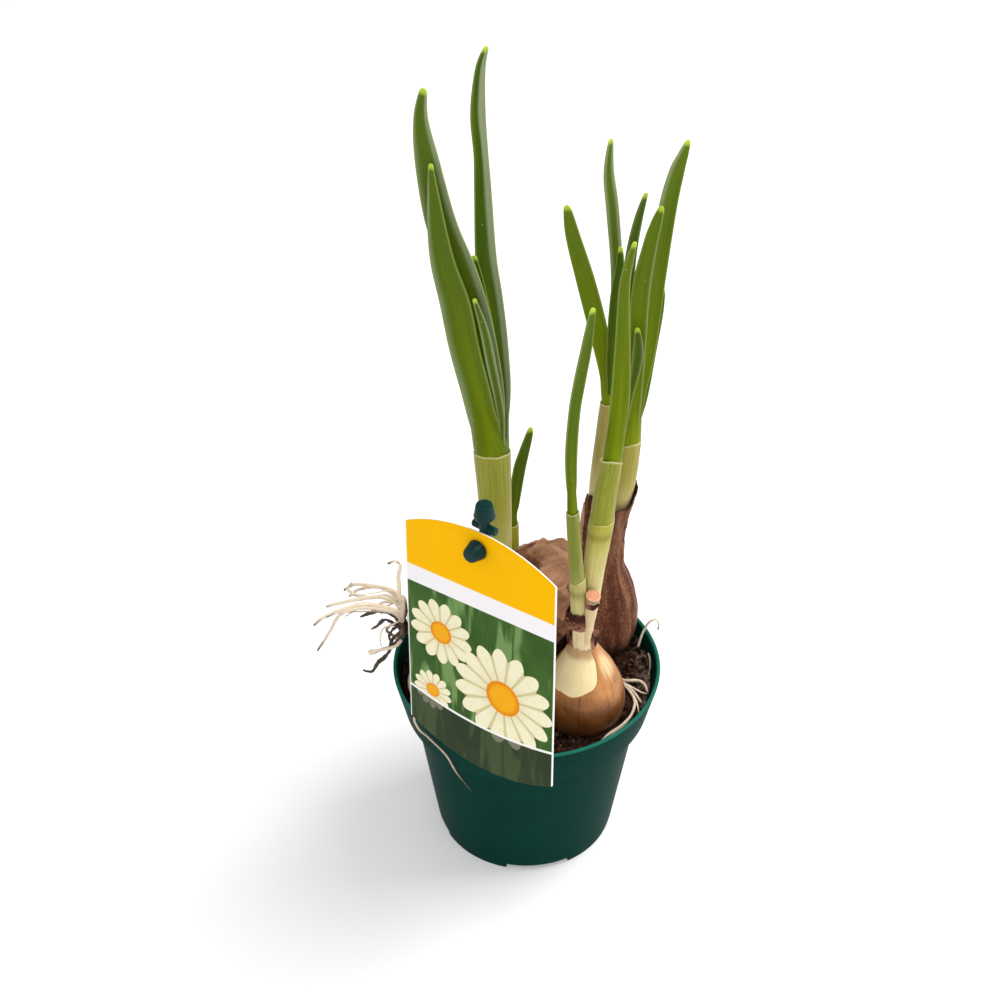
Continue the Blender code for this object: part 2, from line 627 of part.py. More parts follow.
def build_pot(collection):
    inner_step = STEP_HEIGHT + WALL
    profile = [
        (0, FLOOR_TOP),
        (wall_radius(FLOOR_TOP) - WALL - FLOOR_CORNER, FLOOR_TOP),
        (wall_radius(FLOOR_TOP) - WALL, FLOOR_TOP + FLOOR_CORNER),
        (WALL_TOP_RADIUS - WALL, inner_step),
        (STEP_RADIUS - WALL, inner_step + STEP_SLOPE),
        (collar_radius(POT_HEIGHT - CORNER) - RIM_WALL, POT_HEIGHT - CORNER),
        (RIM_RADIUS - RIM_WALL + CORNER, POT_HEIGHT),
        (RIM_RADIUS - CORNER, POT_HEIGHT),
        (RIM_RADIUS, POT_HEIGHT - CORNER),
        (STEP_RADIUS, STEP_HEIGHT + CORNER),
        (STEP_RADIUS - CORNER, STEP_HEIGHT),
        (WALL_TOP_RADIUS + CORNER, STEP_HEIGHT - CORNER / 4),
        (WALL_TOP_RADIUS, STEP_HEIGHT - CORNER),
        (BASE_RADIUS, FOOT_CORNER),
        (BASE_RADIUS - FOOT_CORNER, 0),
        (FOOT_INNER_RADIUS, 0),
        (FOOT_INNER_RADIUS - FOOT_CORNER, FLOOR_UNDER),
        (PAD_RADIUS + FOOT_CORNER, FLOOR_UNDER),
        (PAD_RADIUS, 0),
        (0, 0),
    ]
    pot = turned("pot", profile, POT_SIDES, "pot_plastic", collection)
    cutters = []
    length, depth, height = FOOT_NOTCH
    ring_middle = Vector(((BASE_RADIUS + FOOT_INNER_RADIUS) / 2, 0, 0))
    for i in range(FOOT_NOTCHES):
        turn = math.radians(FOOT_NOTCH_TURN + 360 * i / FOOT_NOTCHES)
        form = bmesh.new()
        bmesh.ops.create_cube(form, size=MM)
        bmesh.ops.scale(form, vec=Vector((depth, length, 2 * height)), verts=form.verts)
        notch = place(f"notch_{i}", mesh_from("notch", form), "pot_plastic", collection)
        notch.matrix_world = Matrix.Rotation(turn, 4, "Z") @ Matrix.Translation(ring_middle * MM)
        cutters.append(notch)
    for i in range(DRAINS):
        turn = math.radians(DRAIN_TURN + 360 * i / DRAINS)
        hole = cylinder(f"drain_{i}", DRAIN_RADIUS, 2 * FLOOR_TOP, DRAIN_SIDES, "pot_plastic",
                        collection)
        hole.location = DRAIN_CIRCLE * MM * Vector((math.cos(turn), math.sin(turn), 0))
        cutters.append(hole)
    combined(pot, cutters, "DIFFERENCE", "pot_plastic", collection)


def soil_height(x, y):
    reach = math.hypot(x, y) / SOIL_REACH
    wave_x = math.sin(SOIL_WAVE_X[0] * x + SOIL_WAVE_X[1])
    wave_y = math.cos(SOIL_WAVE_Y[0] * y + SOIL_WAVE_Y[1])
    ripple = SOIL_RIPPLE * wave_x * wave_y
    return SOIL_EDGE_HEIGHT + SOIL_MOUND * (1 - reach ** 2) + ripple


def build_soil(collection, cutters):
    foot = FLOOR_TOP + GAP
    corner = foot + 2 * FLOOR_CORNER
    inner_step = STEP_HEIGHT + WALL
    flats = math.cos(math.pi / POT_SIDES)
    levels = [
        (foot, inner_radius(foot) - 2 * FLOOR_CORNER),
        (corner, inner_radius(corner) - GAP),
        (inner_step + GAP, inner_radius(inner_step) - GAP),
        (inner_step + STEP_SLOPE + GAP, (STEP_RADIUS - WALL) * flats - GAP),
    ]
    rings = [ellipse(UP * z, EAST, NORTH, r, r, SOIL_SIDES) for z, r in levels]
    edge = (collar_radius(SOIL_EDGE_HEIGHT) - RIM_WALL) * flats - GAP
    for share in SOIL_RINGS:
        flat = ellipse(Vector(), EAST, NORTH, edge * share, edge * share, SOIL_SIDES)
        rings.append([Vector((p.x, p.y, soil_height(p.x, p.y))) for p in flat])
    soil = place("soil", lofted("soil", rings), "compost", collection)
    combined(soil, cutters, "DIFFERENCE", "compost", collection)


def grown(stations, extra):
    """The same stations, wider and deeper by the clearance."""
    return [(c, a + extra, b + extra) for c, a, b in stations]


def upright_cutter(name, stations, collection):
    """A plain solid of an upright bulb's lower part, larger by the gap, to cut its seat."""
    lower = grown(stations[:SUNK_STATIONS], GAP)
    rings = [ellipse(Vector(c), EAST, NORTH, a, b, BULB_SIDES) for c, a, b in lower]
    rings[0] = [point - UP * GAP for point in rings[0]]
    return place(name, lofted(name, rings), "compost", collection)


def left_seat(collection):
    rings = lying_rings(grown(LEFT_BULB, GAP))
    return place("left_seat", lofted("left_seat", rings), "compost", collection)


def lying_rings(stations):
    """Upright rings along the bulb that lies on its side."""
    rings = []
    for row, (centre, depth, height) in enumerate(stations):
        rings.append(ellipse(Vector(centre), NORTH, UP, depth, height, BULB_SIDES, fold(row)))
    return rings


def fold(row):
    """The dents in the papery skin at a station, a share of its radius, deeper at the right end."""
    depth = FOLD_LEAST + FOLD_GROWTH * min(max(row - FOLD_FIRST, 0), FOLD_ROWS)

    def dent(turn):
        return depth * (math.sin(5 * turn + 1.7 * row) + math.sin(9 * turn - 2.3 * row))
    return dent


def build_bulbs(collection):
    edge = ragged_edge(*FRONT_EDGE)
    mesh = cup("bulb_front", FRONT_BULB, BULB_SIDES, SKIN, FRONT_CUP, edge)
    front = place("bulb_front", mesh, "pale_bulb_skin", collection)
    lean = STUB_TOP - STUB_FOOT
    stub = cylinder("stub", STUB_RADIUS * STUB_WAIST, lean.length, STUB_SIDES, "pale_bulb_skin",
                    collection, tip=STUB_RADIUS)
    stand_on(stub, STUB_FOOT, lean)
    combined(front, [stub], "UNION", "pale_bulb_skin", collection)
    mesh = cup("bulb_rear", REAR_BULB, BULB_SIDES, SKIN, REAR_CUP, ragged_edge(*REAR_EDGE))
    place("bulb_rear", mesh, "bulb_skin", collection)
    mesh = lofted("bulb_left", lying_rings(LEFT_BULB))
    left = place("bulb_left", mesh, "bulb_skin", collection)
    mesh = cup("collar", LEFT_COLLAR, BULB_SIDES, SKIN, LEFT_CUP, ragged_edge(*LEFT_EDGE))
    collar = place("collar", mesh, "bulb_skin", collection)
    left = combined(left, [collar], "UNION", "bulb_skin", collection)
    holes = [sheath_seat("left", collection), sheath_seat("left_small", collection)]
    combined(left, holes, "DIFFERENCE", "bulb_skin", collection)


def sheath_seat(name, collection):
    """A plain hole, wider than the sheath by the gap, from its foot up past the collar."""
    stations = grown(SHEATHS[name], GAP)[:SEATED_STATIONS]
    sides = LEFT_SHEATH_SIDES
    rings = [ellipse(Vector(c), EAST, NORTH, a, b, sides) for c, a, b in stations]
    rings[0] = [point - UP * GAP for point in rings[0]]
    return place("seat_" + name, lofted("seat", rings), "bulb_skin", collection)


def build_sheaths(collection):
    for name, stations in SHEATHS.items():
        sides = LEFT_SHEATH_SIDES if name == "left" else SHEATH_SIDES
        edge = ragged_edge(SHEATH_EDGE, len(name))
        mesh = cup("sheath_" + name, stations, sides, SHEATH_WALL, SHEATH_HOLE, edge)
        place("sheath_" + name, mesh, "sheath", collection)


def sheath_point(name, height):
    """The middle of a sheath at a height in its hole."""
    middles = [Vector(c) for c, _, _ in SHEATHS[name]]
    above = next(i for i, m in enumerate(middles) if m.z >= height - MM)
    below = middles[above - 1]
    return below.lerp(middles[above], (height - below.z) / (middles[above].z - below.z))


def leaf_section(middle, ahead, width, thickness, channel, twist):
    """A channelled strap's section: an arc whose hollow side faces the front, or twist past it."""
    out = Vector((math.sin(twist), -math.cos(twist), 0))
    across = ahead.cross(out).normalized()
    out = across.cross(ahead).normalized()
    front = []
    back = []
    margin = min(LEAF_MARGIN, thickness) / 2
    half_turn = min(width / 2 / channel, WIDEST_TURN)
    for i in range(LEAF_COLUMNS):
        share = 2 * i / (LEAF_COLUMNS - 1) - 1
        turn = half_turn * share
        sideways = across * (channel * math.sin(turn))
        forward = out * (channel * (1 - math.cos(turn)))
        point = middle + sideways + forward
        normal = out * math.cos(turn) - across * math.sin(turn)
        half = margin + (thickness / 2 - margin) * (1 - share ** 2)
        front.append(point + normal * half)
        back.append(point - normal * half)
    return front + back[::-1]


def build_leaf(name, collection):
    sheath, foot, course, channel, foot_width, thickness = LEAVES[name]
    mouth = SHEATHS[sheath][-1][0][2]
    offset = Vector((foot[0], foot[1], 0))
    low = sheath_point(sheath, mouth - SHEATH_HOLE + GAP) + offset
    high = sheath_point(sheath, mouth) + offset
    points = [low, high] + [Vector(station[:3]) for station in course]
    widths = [foot_width, foot_width] + [station[3] for station in course]
    rings = []
    for i in range(LEAF_STATIONS + 1):
        t = i / LEAF_STATIONS
        t = 1 - (1 - t) ** STATION_EASE
        middle = along(points, t)
        ahead = (along(points, min(t + 0.01, 1)) - along(points, max(t - 0.01, 0))).normalized()
        if i == 0:
            ahead = UP
        width = max(along(widths, t), TIP_WIDTH)
        body = thickness * (1 + LEAF_SWELL * math.sin(math.pi * t ** 0.7) - LEAF_TAPER * t)
        twist = math.radians(LEAF_TWIST.get(name, 0)) * t ** TWIST_EASE
        width = width / math.cos(twist)
        rings.append(leaf_section(middle, ahead, width, max(body, LEAF_LEAST), channel, twist))
    place(name, lofted(name, rings, half=LEAF_COLUMNS), "leaf", collection)


def build_tag(collection):
    across, up, face = tag_frame()
    half = TAG_WIDTH / 2
    side = TAG_SIDE / 2
    arc = (half ** 2 + TAG_ARCH ** 2) / (2 * TAG_ARCH)
    reach = math.asin(half / arc)
    outline = []
    for sign in (1, -1):
        for i in range(TAG_ARCH_STEPS + 1):
            turn = reach * (1 - 2 * i / TAG_ARCH_STEPS)
            outline.append((sign * arc * math.sin(turn),
                            sign * (side + TAG_ARCH - arc + arc * math.cos(turn))))
    hole = []
    for i in range(TAG_HOLE_SIDES):
        turn = 2 * math.pi * i / TAG_HOLE_SIDES
        hole.append((TAG_HOLE_RADIUS * math.cos(turn),
                     TAG_HOLE_ABOVE_CENTRE + TAG_HOLE_RADIUS * math.sin(turn)))
    curve = bpy.data.curves.new("tag", "CURVE")
    curve.dimensions = "2D"
    curve.fill_mode = "BOTH"
    curve.extrude = TAG_THICKNESS / 2 * MM
    for points in (outline, hole):
        spline = curve.splines.new("POLY")
        spline.use_cyclic_u = True
        spline.points.add(len(points) - 1)
        for vertex, (x, y) in zip(spline.points, points):
            vertex.co = (x * MM, y * MM, 0, 1)
    item = bpy.data.objects.new("tag", curve)
    collection.objects.link(item)
    frame = Matrix((across, up, face)).transposed().to_4x4()
    item.matrix_world = Matrix.Translation(TAG_CENTRE * MM) @ frame
    solidified(item, "tag_plastic", collection)


def stake_axis():
    """The point on the stake behind the tag's hole, and the stake's direction up."""
    across, up, face = tag_frame()
    peg = TAG_CENTRE + up * TAG_HOLE_ABOVE_CENTRE - face * STAKE_BEHIND_TAG
    return peg, (peg - STAKE_FOOT).normalized()


def knob(name, collection):
    """A truncated cone with a tapered skirt, standing on the end of a stem of STAKE_RADIUS."""
    profile = [
        (0, KNOB_SKIRT + KNOB_LENGTH),
        (KNOB_TOP_RADIUS, KNOB_SKIRT + KNOB_LENGTH),
        (KNOB_RADIUS, KNOB_SKIRT),
        (STAKE_RADIUS, 0),
        (0, 0),
    ]
    return turned(name, profile, KNOB_SIDES, "stake_plastic", collection)


def build_stake(collection):
    across, up, face = tag_frame()
    peg, direction = stake_axis()
    length = (peg - STAKE_FOOT).length
    neck_height = length + STAKE_TOP - KNOB_LENGTH - KNOB_SKIRT
    rod = cylinder("stake", STAKE_RADIUS, neck_height + JOIN, STAKE_SIDES, "stake_plastic",
                   collection)
    stand_on(rod, STAKE_FOOT, direction)
    top = knob("top_knob", collection)
    stand_on(top, STAKE_FOOT + direction * neck_height, direction)
    bar_length, bar_thickness = CROSS_BAR
    bar = cylinder("cross_bar", bar_thickness / 2, bar_length, STAKE_SIDES, "stake_plastic",
                   collection)
    level = across.cross(direction).cross(direction).normalized()
    middle = peg + direction * CROSS_BAR_ABOVE_PEG
    stand_on(bar, middle - level * (bar_length / 2), level)
    reach = STAKE_BEHIND_TAG + TAG_THICKNESS / 2 + GAP
    pin = cylinder("peg", STAKE_RADIUS, reach + JOIN, STAKE_SIDES, "stake_plastic", collection)
    stand_on(pin, peg, face)
    head = cylinder("peg_head", KNOB_RADIUS, KNOB_LENGTH, KNOB_SIDES, "stake_plastic",
                    collection, tip=KNOB_TOP_RADIUS)
    stand_on(head, peg + face * reach, face)
    top = solidified(top, "stake_plastic", collection)
    combined(rod, [top, bar, pin, head], "UNION", "stake_plastic", collection)


def stake_seat(collection):
    peg, direction = stake_axis()
    hole = cylinder("stake_seat", STAKE_RADIUS + GAP, STAKE_SEAT_LENGTH, STAKE_SIDES, "compost",
                    collection)
    return stand_on(hole, STAKE_FOOT - direction * GAP, direction)


def crown_seat(collection):
    """The hollow in which the front roots' crown sits."""
    centre, radii = FRONT_CROWN
    form = bmesh.new()
    bmesh.ops.create_uvsphere(form, u_segments=CROWN_SIDES, v_segments=CROWN_RINGS, radius=MM)
    bmesh.ops.scale(form, vec=Vector(radii) + Vector((GAP, GAP, GAP)), verts=form.verts)
    bmesh.ops.translate(form, vec=Vector(centre) * MM, verts=form.verts)
    return place("crown_seat", mesh_from("crown_seat", form), "compost", collection)


def build_roots(collection):
    root_tuft("roots_left_pale", PALE_CROWN, PALE_ROOTS, "root", collection)
    root_tuft("roots_left_dry", DRY_CROWN, DRY_ROOTS, "dry_root", collection)
    lying = [laid(course, radius) for course, radius in FRONT_ROOTS]
    root_tuft("roots_front", FRONT_CROWN, lying, "root", collection)
    strand("root_on_soil", *laid(*SOIL_STRAND), "root", collection)
    strand("root_over_rim", *RIM_ROOT, "root", collection)
    strand("root_hanging", *HANGING_ROOT, "root", collection)


clear_objects()
finishes = {name: make_finish(name) for name in FINISHES}
plant = make_collection("potted_narcissus")
build_pot(plant)
seats = [
    upright_cutter("front_seat", FRONT_BULB, plant),
    upright_cutter("rear_seat", REAR_BULB, plant),
    left_seat(plant),
    stake_seat(plant),
    crown_seat(plant),
]
build_soil(plant, seats)
build_bulbs(plant)
build_sheaths(plant)
for leaf in LEAVES:
    build_leaf(leaf, plant)
build_tag(plant)
build_stake(plant)
build_roots(plant)
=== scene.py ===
"""Potted narcissus: the finish of the pot, compost, bulbs, shoots, roots, tag and stake.

Lengths are in millimetres and turn into metres where a mesh is made. +Z is up, the origin is
the centre of the pot's underside, and the plant is seen along +Y.
"""
import json
import math
import random

import bmesh
import bpy
import numpy as np
from mathutils import Matrix, Vector, noise

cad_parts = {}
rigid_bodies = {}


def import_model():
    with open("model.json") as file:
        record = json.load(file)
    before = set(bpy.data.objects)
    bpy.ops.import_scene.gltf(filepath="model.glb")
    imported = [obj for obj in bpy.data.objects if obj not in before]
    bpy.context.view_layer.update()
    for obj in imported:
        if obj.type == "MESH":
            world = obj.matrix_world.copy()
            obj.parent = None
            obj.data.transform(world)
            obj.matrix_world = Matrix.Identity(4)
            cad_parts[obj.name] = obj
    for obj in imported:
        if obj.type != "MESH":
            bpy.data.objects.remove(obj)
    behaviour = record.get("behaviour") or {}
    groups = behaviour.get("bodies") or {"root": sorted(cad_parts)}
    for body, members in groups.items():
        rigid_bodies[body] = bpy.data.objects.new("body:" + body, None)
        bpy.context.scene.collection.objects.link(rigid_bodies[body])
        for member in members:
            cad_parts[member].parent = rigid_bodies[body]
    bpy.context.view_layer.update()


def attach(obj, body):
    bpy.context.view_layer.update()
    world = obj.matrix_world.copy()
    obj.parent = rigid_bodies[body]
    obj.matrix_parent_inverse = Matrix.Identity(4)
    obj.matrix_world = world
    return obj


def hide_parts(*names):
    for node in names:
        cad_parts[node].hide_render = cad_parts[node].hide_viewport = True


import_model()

MM = 0.001
UP = Vector((0, 0, 1))
EAST = Vector((1, 0, 0))
NORTH = Vector((0, 1, 0))
TURN = 2 * math.pi
SEED = 41

# Camera: where the photographer stood, looking down at the plant
CAMERA_PLACE = (-12.0, -629.2, 674.7)
CAMERA_TILT = 52.1
CAMERA_LENS = 68.4

# Light, in metres: an even sky, and soft square lamps by their place, size, power and colour
SKY_STRENGTH = 0.62
LAMPS = (
    ("key", (0.85, 0.25, 1.5), 1.1, 25.0, (1.0, 0.98, 0.95)),
    ("front", (-0.1, -1.3, 1.1), 1.0, 5.0, (1.0, 1.0, 1.0)),
)
LAMP_AIM = (0, 0, 0.15)
FLOOR_SIZE = 8.0
FLOOR_GLOW = 0.2

# Pot
POT_HEIGHT = 93.0
RIM_RADIUS = 60.0
STEP_RADIUS = 55.7
WALL_TOP_RADIUS = 51.5
BASE_RADIUS = 40.8
STEP_HEIGHT = 73.0
POT_WALL = 1.25
RIM_WALL = 1.8
FLOOR_TOP = 4.4
FLOOR_UNDER = 3.2
PAD_RADIUS = 11.0
FOOT_INNER_RADIUS = 34.2
FOOT_NOTCHES = 4
FOOT_NOTCH_WIDTH = 27.0
FOOT_NOTCH_HEIGHT = 2.8
FOOT_NOTCH_TURN = math.radians(-82.0)
NOTCH_HALF_TURN = math.asin(FOOT_NOTCH_WIDTH / (BASE_RADIUS + FOOT_INNER_RADIUS))
# How far to each side of a notch's end its two columns of points stand, as a turn
NOTCH_EDGE = 0.0004
DRAINS = 6
DRAIN_RADIUS = 3.0
DRAIN_CIRCLE = 23.0
DRAIN_TURN = 10.0
DRAIN_SIDES = 32
POT_CORNER = 0.7
POT_COLUMNS = 224

# Compost
SOIL_EDGE_HEIGHT = 83.6
SOIL_MOUND = 2.2
SOIL_BANK = 3.2
SOIL_REACH = 56.0
SOIL_RIPPLE = 0.35
SOIL_WAVE_X = 0.21
SOIL_WAVE_Y = 0.17
SOIL_SHOULDER_HEIGHT = 82.4
# How far up the slope from the pot's step to its rim the compost's edge lies
SOIL_RIM_SHARE = 0.53
SOIL_ROWS = 120
SOIL_COLUMNS = 300
CLOD_HEIGHT = 0.35
CRUMBS = 1500
CRUMB_SIZES = (0.35, 0.8)
CHIP_SHARE = 0.16
CHIP_GROWTH = 1.8
LUMP_ROWS = 4
LUMP_COLUMNS = 6
# Crumbs get paler from this far to the right, over this width
DRY_SOIL_FROM = 36.0
DRY_SOIL_WIDTH = 14.0
FIBRES = 260
FIBRE_LENGTHS = (1.5, 4.5)
FIBRE_RADII = (0.08, 0.2)
FIBRE_STEPS = 4

# Tag
TAG_WIDTH = 75.0
TAG_SIDE = 102.0
TAG_ARCH = 10.0
TAG_THICKNESS = 0.7
TAG_CENTRE = Vector((-20.2, -58.1, 150.4))
TAG_TURN = math.radians(37.3)
TAG_LEAN = math.radians(3.0)
TAG_ROLL = math.radians(2.2)
TAG_HOLE_ABOVE_CENTRE = 53.1
TAG_HOLE_RADIUS = 2.75
TAG_HOLE_SIDES = 48
TAG_ARCH_STEPS = 40
TAG_BEVEL = 0.12
# The printed flowers: a middle on the tag's face, a size, how many petals and a spin
DAISIES = (
    ((12.0, -17.0), 25.0, 15, 0.4), ((-20.0, 2.0), 16.0, 13, 1.1), ((-25.0, -31.0), 10.0, 13, 2.0),
)

# Stake
STAKE_RADIUS = 2.3
STAKE_BEHIND_TAG = 4.0
STAKE_FOOT = Vector((-15.2, -41.6, 64.0))
STAKE_TOP = 20.6
CROSS_BAR = (11.2, 3.6)
CROSS_BAR_ABOVE_PEG = 9.0
KNOB_TOP_RADIUS = 3.05
KNOB_RADIUS = 4.4
KNOB_LENGTH = 5.9
KNOB_SKIRT = 2.4

# Each shoot's sheath: stations up its middle (x, y, z) with half its width and half its depth
SHEATHS = {
    "left": [
        ((-11.9, 5.0, 128.4), 5.8, 6.0),
        ((-12.3, 4.8, 141.0), 5.9, 6.3),
        ((-13.0, 4.0, 157.0), 6.1, 6.5),
        ((-14.1, 3.0, 182.6), 7.0, 6.5),
        ((-15.3, 2.0, 207.5), 7.7, 6.4),
    ],
    "left_small": [
        ((-6.2, 14.4, 130.4), 2.6, 2.6),
        ((-6.4, 14.4, 146.0), 2.8, 2.8),
        ((-6.6, 14.0, 161.0), 2.7, 2.7),
    ],
    "front": [
        ((20.8, -26.1, 138.4), 2.6, 2.6),
        ((21.2, -26.7, 148.0), 3.3, 3.2),
        ((20.1, -28.0, 163.0), 3.2, 3.1),
        ((18.7, -28.5, 181.0), 2.9, 2.9),
        ((17.2, -29.0, 201.0), 2.7, 2.7),
    ],
    "centre": [
        ((25.5, -22.9, 138.4), 2.6, 2.6),
        ((26.4, -22.1, 150.0), 3.4, 3.4),
        ((27.3, -22.6, 168.0), 4.2, 4.1),
        ((29.2, -22.5, 188.0), 4.9, 4.4),
        ((30.4, -22.0, 203.0), 4.8, 4.3),
        ((32.4, -22.0, 221.0), 4.4, 4.2),
    ],
    "rear_left": [
        ((30.1, 18.6, 157.9), 3.8, 3.9),
        ((30.6, 18.2, 178.0), 4.3, 4.3),
        ((32.2, 18.0, 198.2), 4.6, 4.4),
        ((34.1, 18.0, 221.9), 4.5, 4.3),
    ],
    "rear_right": [
        ((38.4, 18.6, 157.9), 3.8, 3.9),
        ((41.0, 18.2, 178.0), 4.8, 4.4),
        ((42.7, 18.0, 201.4), 4.9, 4.4),
    ],
}
SHEATH_WALL = 0.5
SHEATH_HOLE = 14.0
SHEATH_RIBS = 22
SHEATH_RIB_DEPTH = 0.04
SHEATH_ROWS = 70
SHEATH_COLUMNS = 72
# Two shoots keep a second, shorter sheath outside the first: how high it ends, and its slant
OUTER_SHEATHS = {"front": (164.8, 2.0), "centre": (192.2, 0.5)}
OUTER_SHEATH_WALL = 0.4
OUTER_SHEATH_YELLOWER = 0.45
# How green each sheath is, from yellow at 0 to grass green at 1, and how tan
SHEATH_LOOK = {
    "left": (0.6, 0.15), "left_small": (0.35, 0.0), "front": (1.0, 0.25), "centre": (0.65, 0.1),
    "rear_left": (0.15, 0.85), "rear_right": (0.3, 0.6),
}
# How far each sheath's mouth rises to the right, at both sides and in front
SHEATH_RIM = {
    "left": (0.3, 2.8, 4.0), "left_small": (0.3, 0.6, 0.5), "front": (0.2, 1.0, 1.0),
    "centre": (-0.6, 0.8, 3.8), "rear_left": (0.1, 0.6, 2.0), "rear_right": (1.3, 0.8, 2.0),
}

# Each leaf: its sheath, its foot's place in the sheath's mouth (x, y), its free course above the
# mouth as (x, y, z, width), the radius of its channel, its foot's width and its thickness
LEAVES = {
    "leaf_left_back": ("left", (0.3, 0.5), [
        (-15.6, 1.0, 236.0, 11.3), (-18.4, -0.5, 260.0, 12.2), (-22.2, -2.0, 281.5, 13.0),
        (-27.2, -4.5, 301.5, 13.8), (-33.5, -7.5, 323.0, 12.3), (-38.0, -11.0, 349.5, 9.0),
        (-40.0, -13.0, 367.0, 4.8), (-38.8, -14.0, 379.0, 1.0)], 9.5, 9.4, 1.4),
    "leaf_left_front": ("left", (-0.5, -2.2), [
        (-17.7, -1.9, 222.5, 11.6), (-21.2, -3.6, 243.0, 12.4), (-25.5, -5.5, 265.5, 12.7),
        (-28.8, -8.0, 288.0, 12.4), (-33.0, -10.5, 306.5, 9.6), (-35.2, -13.0, 324.0, 6.6),
        (-36.6, -15.5, 343.5, 2.6), (-36.9, -16.0, 350.5, 1.0)], 8.5, 7.6, 1.4),
    "leaf_left_tall": ("left", (0.6, 4.3), [
        (-12.9, 8.4, 230.5, 10.0), (-13.6, 10.5, 253.5, 9.6), (-15.7, 12.5, 276.0, 9.0),
        (-17.8, 14.0, 294.0, 8.0), (-18.8, 16.0, 322.5, 6.1), (-19.4, 17.0, 337.5, 5.0),
        (-20.5, 17.5, 354.5, 5.2), (-19.4, 17.5, 371.5, 3.4), (-16.9, 17.5, 380.5, 1.0)],
        9.0, 6.4, 1.1),
    "leaf_left_short": ("left", (2.2, 2.6), [
        (-13.6, 4.6, 240.0, 4.8), (-16.4, 5.6, 262.0, 4.8), (-19.8, 6.5, 283.5, 4.2),
        (-22.2, 7.0, 299.0, 0.9)], 12.0, 4.0, 0.9),
    "leaf_left_sliver": ("left", (4.4, -2.3), [
        (-11.7, -4.0, 232.0, 2.6), (-15.3, -7.0, 257.0, 3.4), (-18.1, -9.0, 275.0, 3.0),
        (-21.9, -10.8, 290.5, 0.9)], 9.0, 1.3, 0.7),
    "leaf_left_small": ("left_small", (0.0, 0.0), [
        (-6.3, 14.2, 170.0, 4.2), (-4.0, 15.0, 189.5, 4.9), (-2.2, 15.3, 198.0, 4.2),
        (0.0, 15.8, 206.8, 2.8), (0.8, 16.0, 211.0, 1.0)], 6.0, 3.2, 1.4),
    "leaf_rear_left_bent": ("rear_left", (-0.1, -0.85), [
        (31.4, 17.0, 238.0, 5.0), (27.8, 17.0, 258.5, 7.4), (22.1, 16.0, 282.5, 7.4),
        (16.4, 14.0, 304.0, 5.4), (13.6, 13.0, 317.5, 1.0)], 8.0, 5.0, 1.0),
    "leaf_rear_left_tall": ("rear_left", (0.0, 0.85), [
        (35.4, 22.0, 255.5, 5.6), (34.4, 24.0, 282.5, 4.4), (31.7, 25.0, 309.0, 4.5),
        (29.7, 26.0, 325.0, 3.6), (30.2, 26.0, 339.0, 1.0)], 8.0, 5.2, 1.0),
    "leaf_rear_left_far": ("rear_left", (0.0, 2.5), [
        (38.0, 27.0, 252.0, 5.4), (40.1, 30.0, 283.5, 4.2), (42.4, 31.0, 300.5, 3.2),
        (45.3, 32.0, 312.5, 1.0)], 8.0, 3.2, 1.0),
    "leaf_rear_left_near": ("rear_left", (0.0, -2.5), [
        (33.8, 13.2, 249.5, 5.0), (33.9, 11.8, 276.0, 4.2), (34.8, 11.0, 290.0, 3.0),
        (34.7, 11.0, 300.5, 1.0)], 8.0, 3.2, 1.0),
    "leaf_centre": ("centre", (0.0, 0.3), [
        (34.6, -20.0, 247.5, 7.6), (34.9, -18.0, 270.0, 6.0), (34.8, -16.0, 284.5, 4.8),
        (34.9, -14.0, 298.5, 3.8), (36.4, -12.0, 307.5, 2.8), (38.4, -11.0, 315.5, 1.0)],
        7.0, 6.0, 1.8),
    "leaf_rear_right_near": ("rear_right", (0.0, -0.85), [
        (43.1, 12.0, 228.0, 5.7), (43.1, 10.0, 253.5, 6.4), (43.2, 8.0, 283.0, 6.7),
        (45.7, 7.0, 303.5, 5.0), (47.4, 6.0, 313.0, 3.8), (49.3, 6.0, 321.0, 1.0)],
        8.0, 5.2, 0.95),
    "leaf_rear_right_tall": ("rear_right", (0.0, 0.85), [
        (44.8, 16.0, 225.0, 5.4), (47.8, 18.0, 250.0, 6.6), (49.9, 20.0, 280.0, 7.1),
        (52.6, 22.0, 310.5, 7.2), (55.4, 23.0, 326.5, 6.0), (57.8, 23.5, 334.0, 3.8),
        (59.6, 24.0, 339.5, 1.0)], 8.0, 5.0, 1.0),
    "leaf_rear_right_far": ("rear_right", (0.2, 2.5), [
        (46.3, 20.4, 222.0, 5.2), (49.1, 23.5, 245.0, 5.7), (51.6, 25.0, 261.5, 4.6),
        (53.4, 26.0, 272.5, 1.0)], 8.0, 3.2, 1.0),
    "leaf_rear_right_short": ("rear_right", (-3.2, -2.0), [
        (40.9, 8.0, 230.0, 1.6), (43.0, 5.8, 251.5, 3.9), (42.8, 5.0, 261.5, 3.0),
        (42.2, 4.6, 267.5, 0.9)], 8.0, 1.2, 0.7),
    "leaf_front": ("front", (0.0, 0.0), [
        (15.8, -31.0, 229.5, 4.4), (16.4, -32.0, 252.0, 4.3), (17.9, -33.0, 267.5, 4.5),
        (20.1, -34.0, 284.5, 4.0), (22.1, -35.0, 301.5, 1.0)], 4.5, 3.2, 1.5),
}
# Blades that line their sheath's mouth, along its front wall at -1 or its rear wall at 1
MOUTH_SIDE = {
    "leaf_left_front": -1, "leaf_left_tall": 1, "leaf_left_small": -1, "leaf_centre": -1,
    "leaf_front": -1, "leaf_rear_right_near": -1, "leaf_rear_right_tall": 1,
    "leaf_rear_left_bent": -1, "leaf_rear_left_tall": 1,
}
# How far above each mouth a blade takes to reach its own width
MOUTH_REACH = {
    "left": 22.0, "left_small": 9.0, "front": 16.0, "centre": 26.0, "rear_left": 16.0,
    "rear_right": 20.0,
}
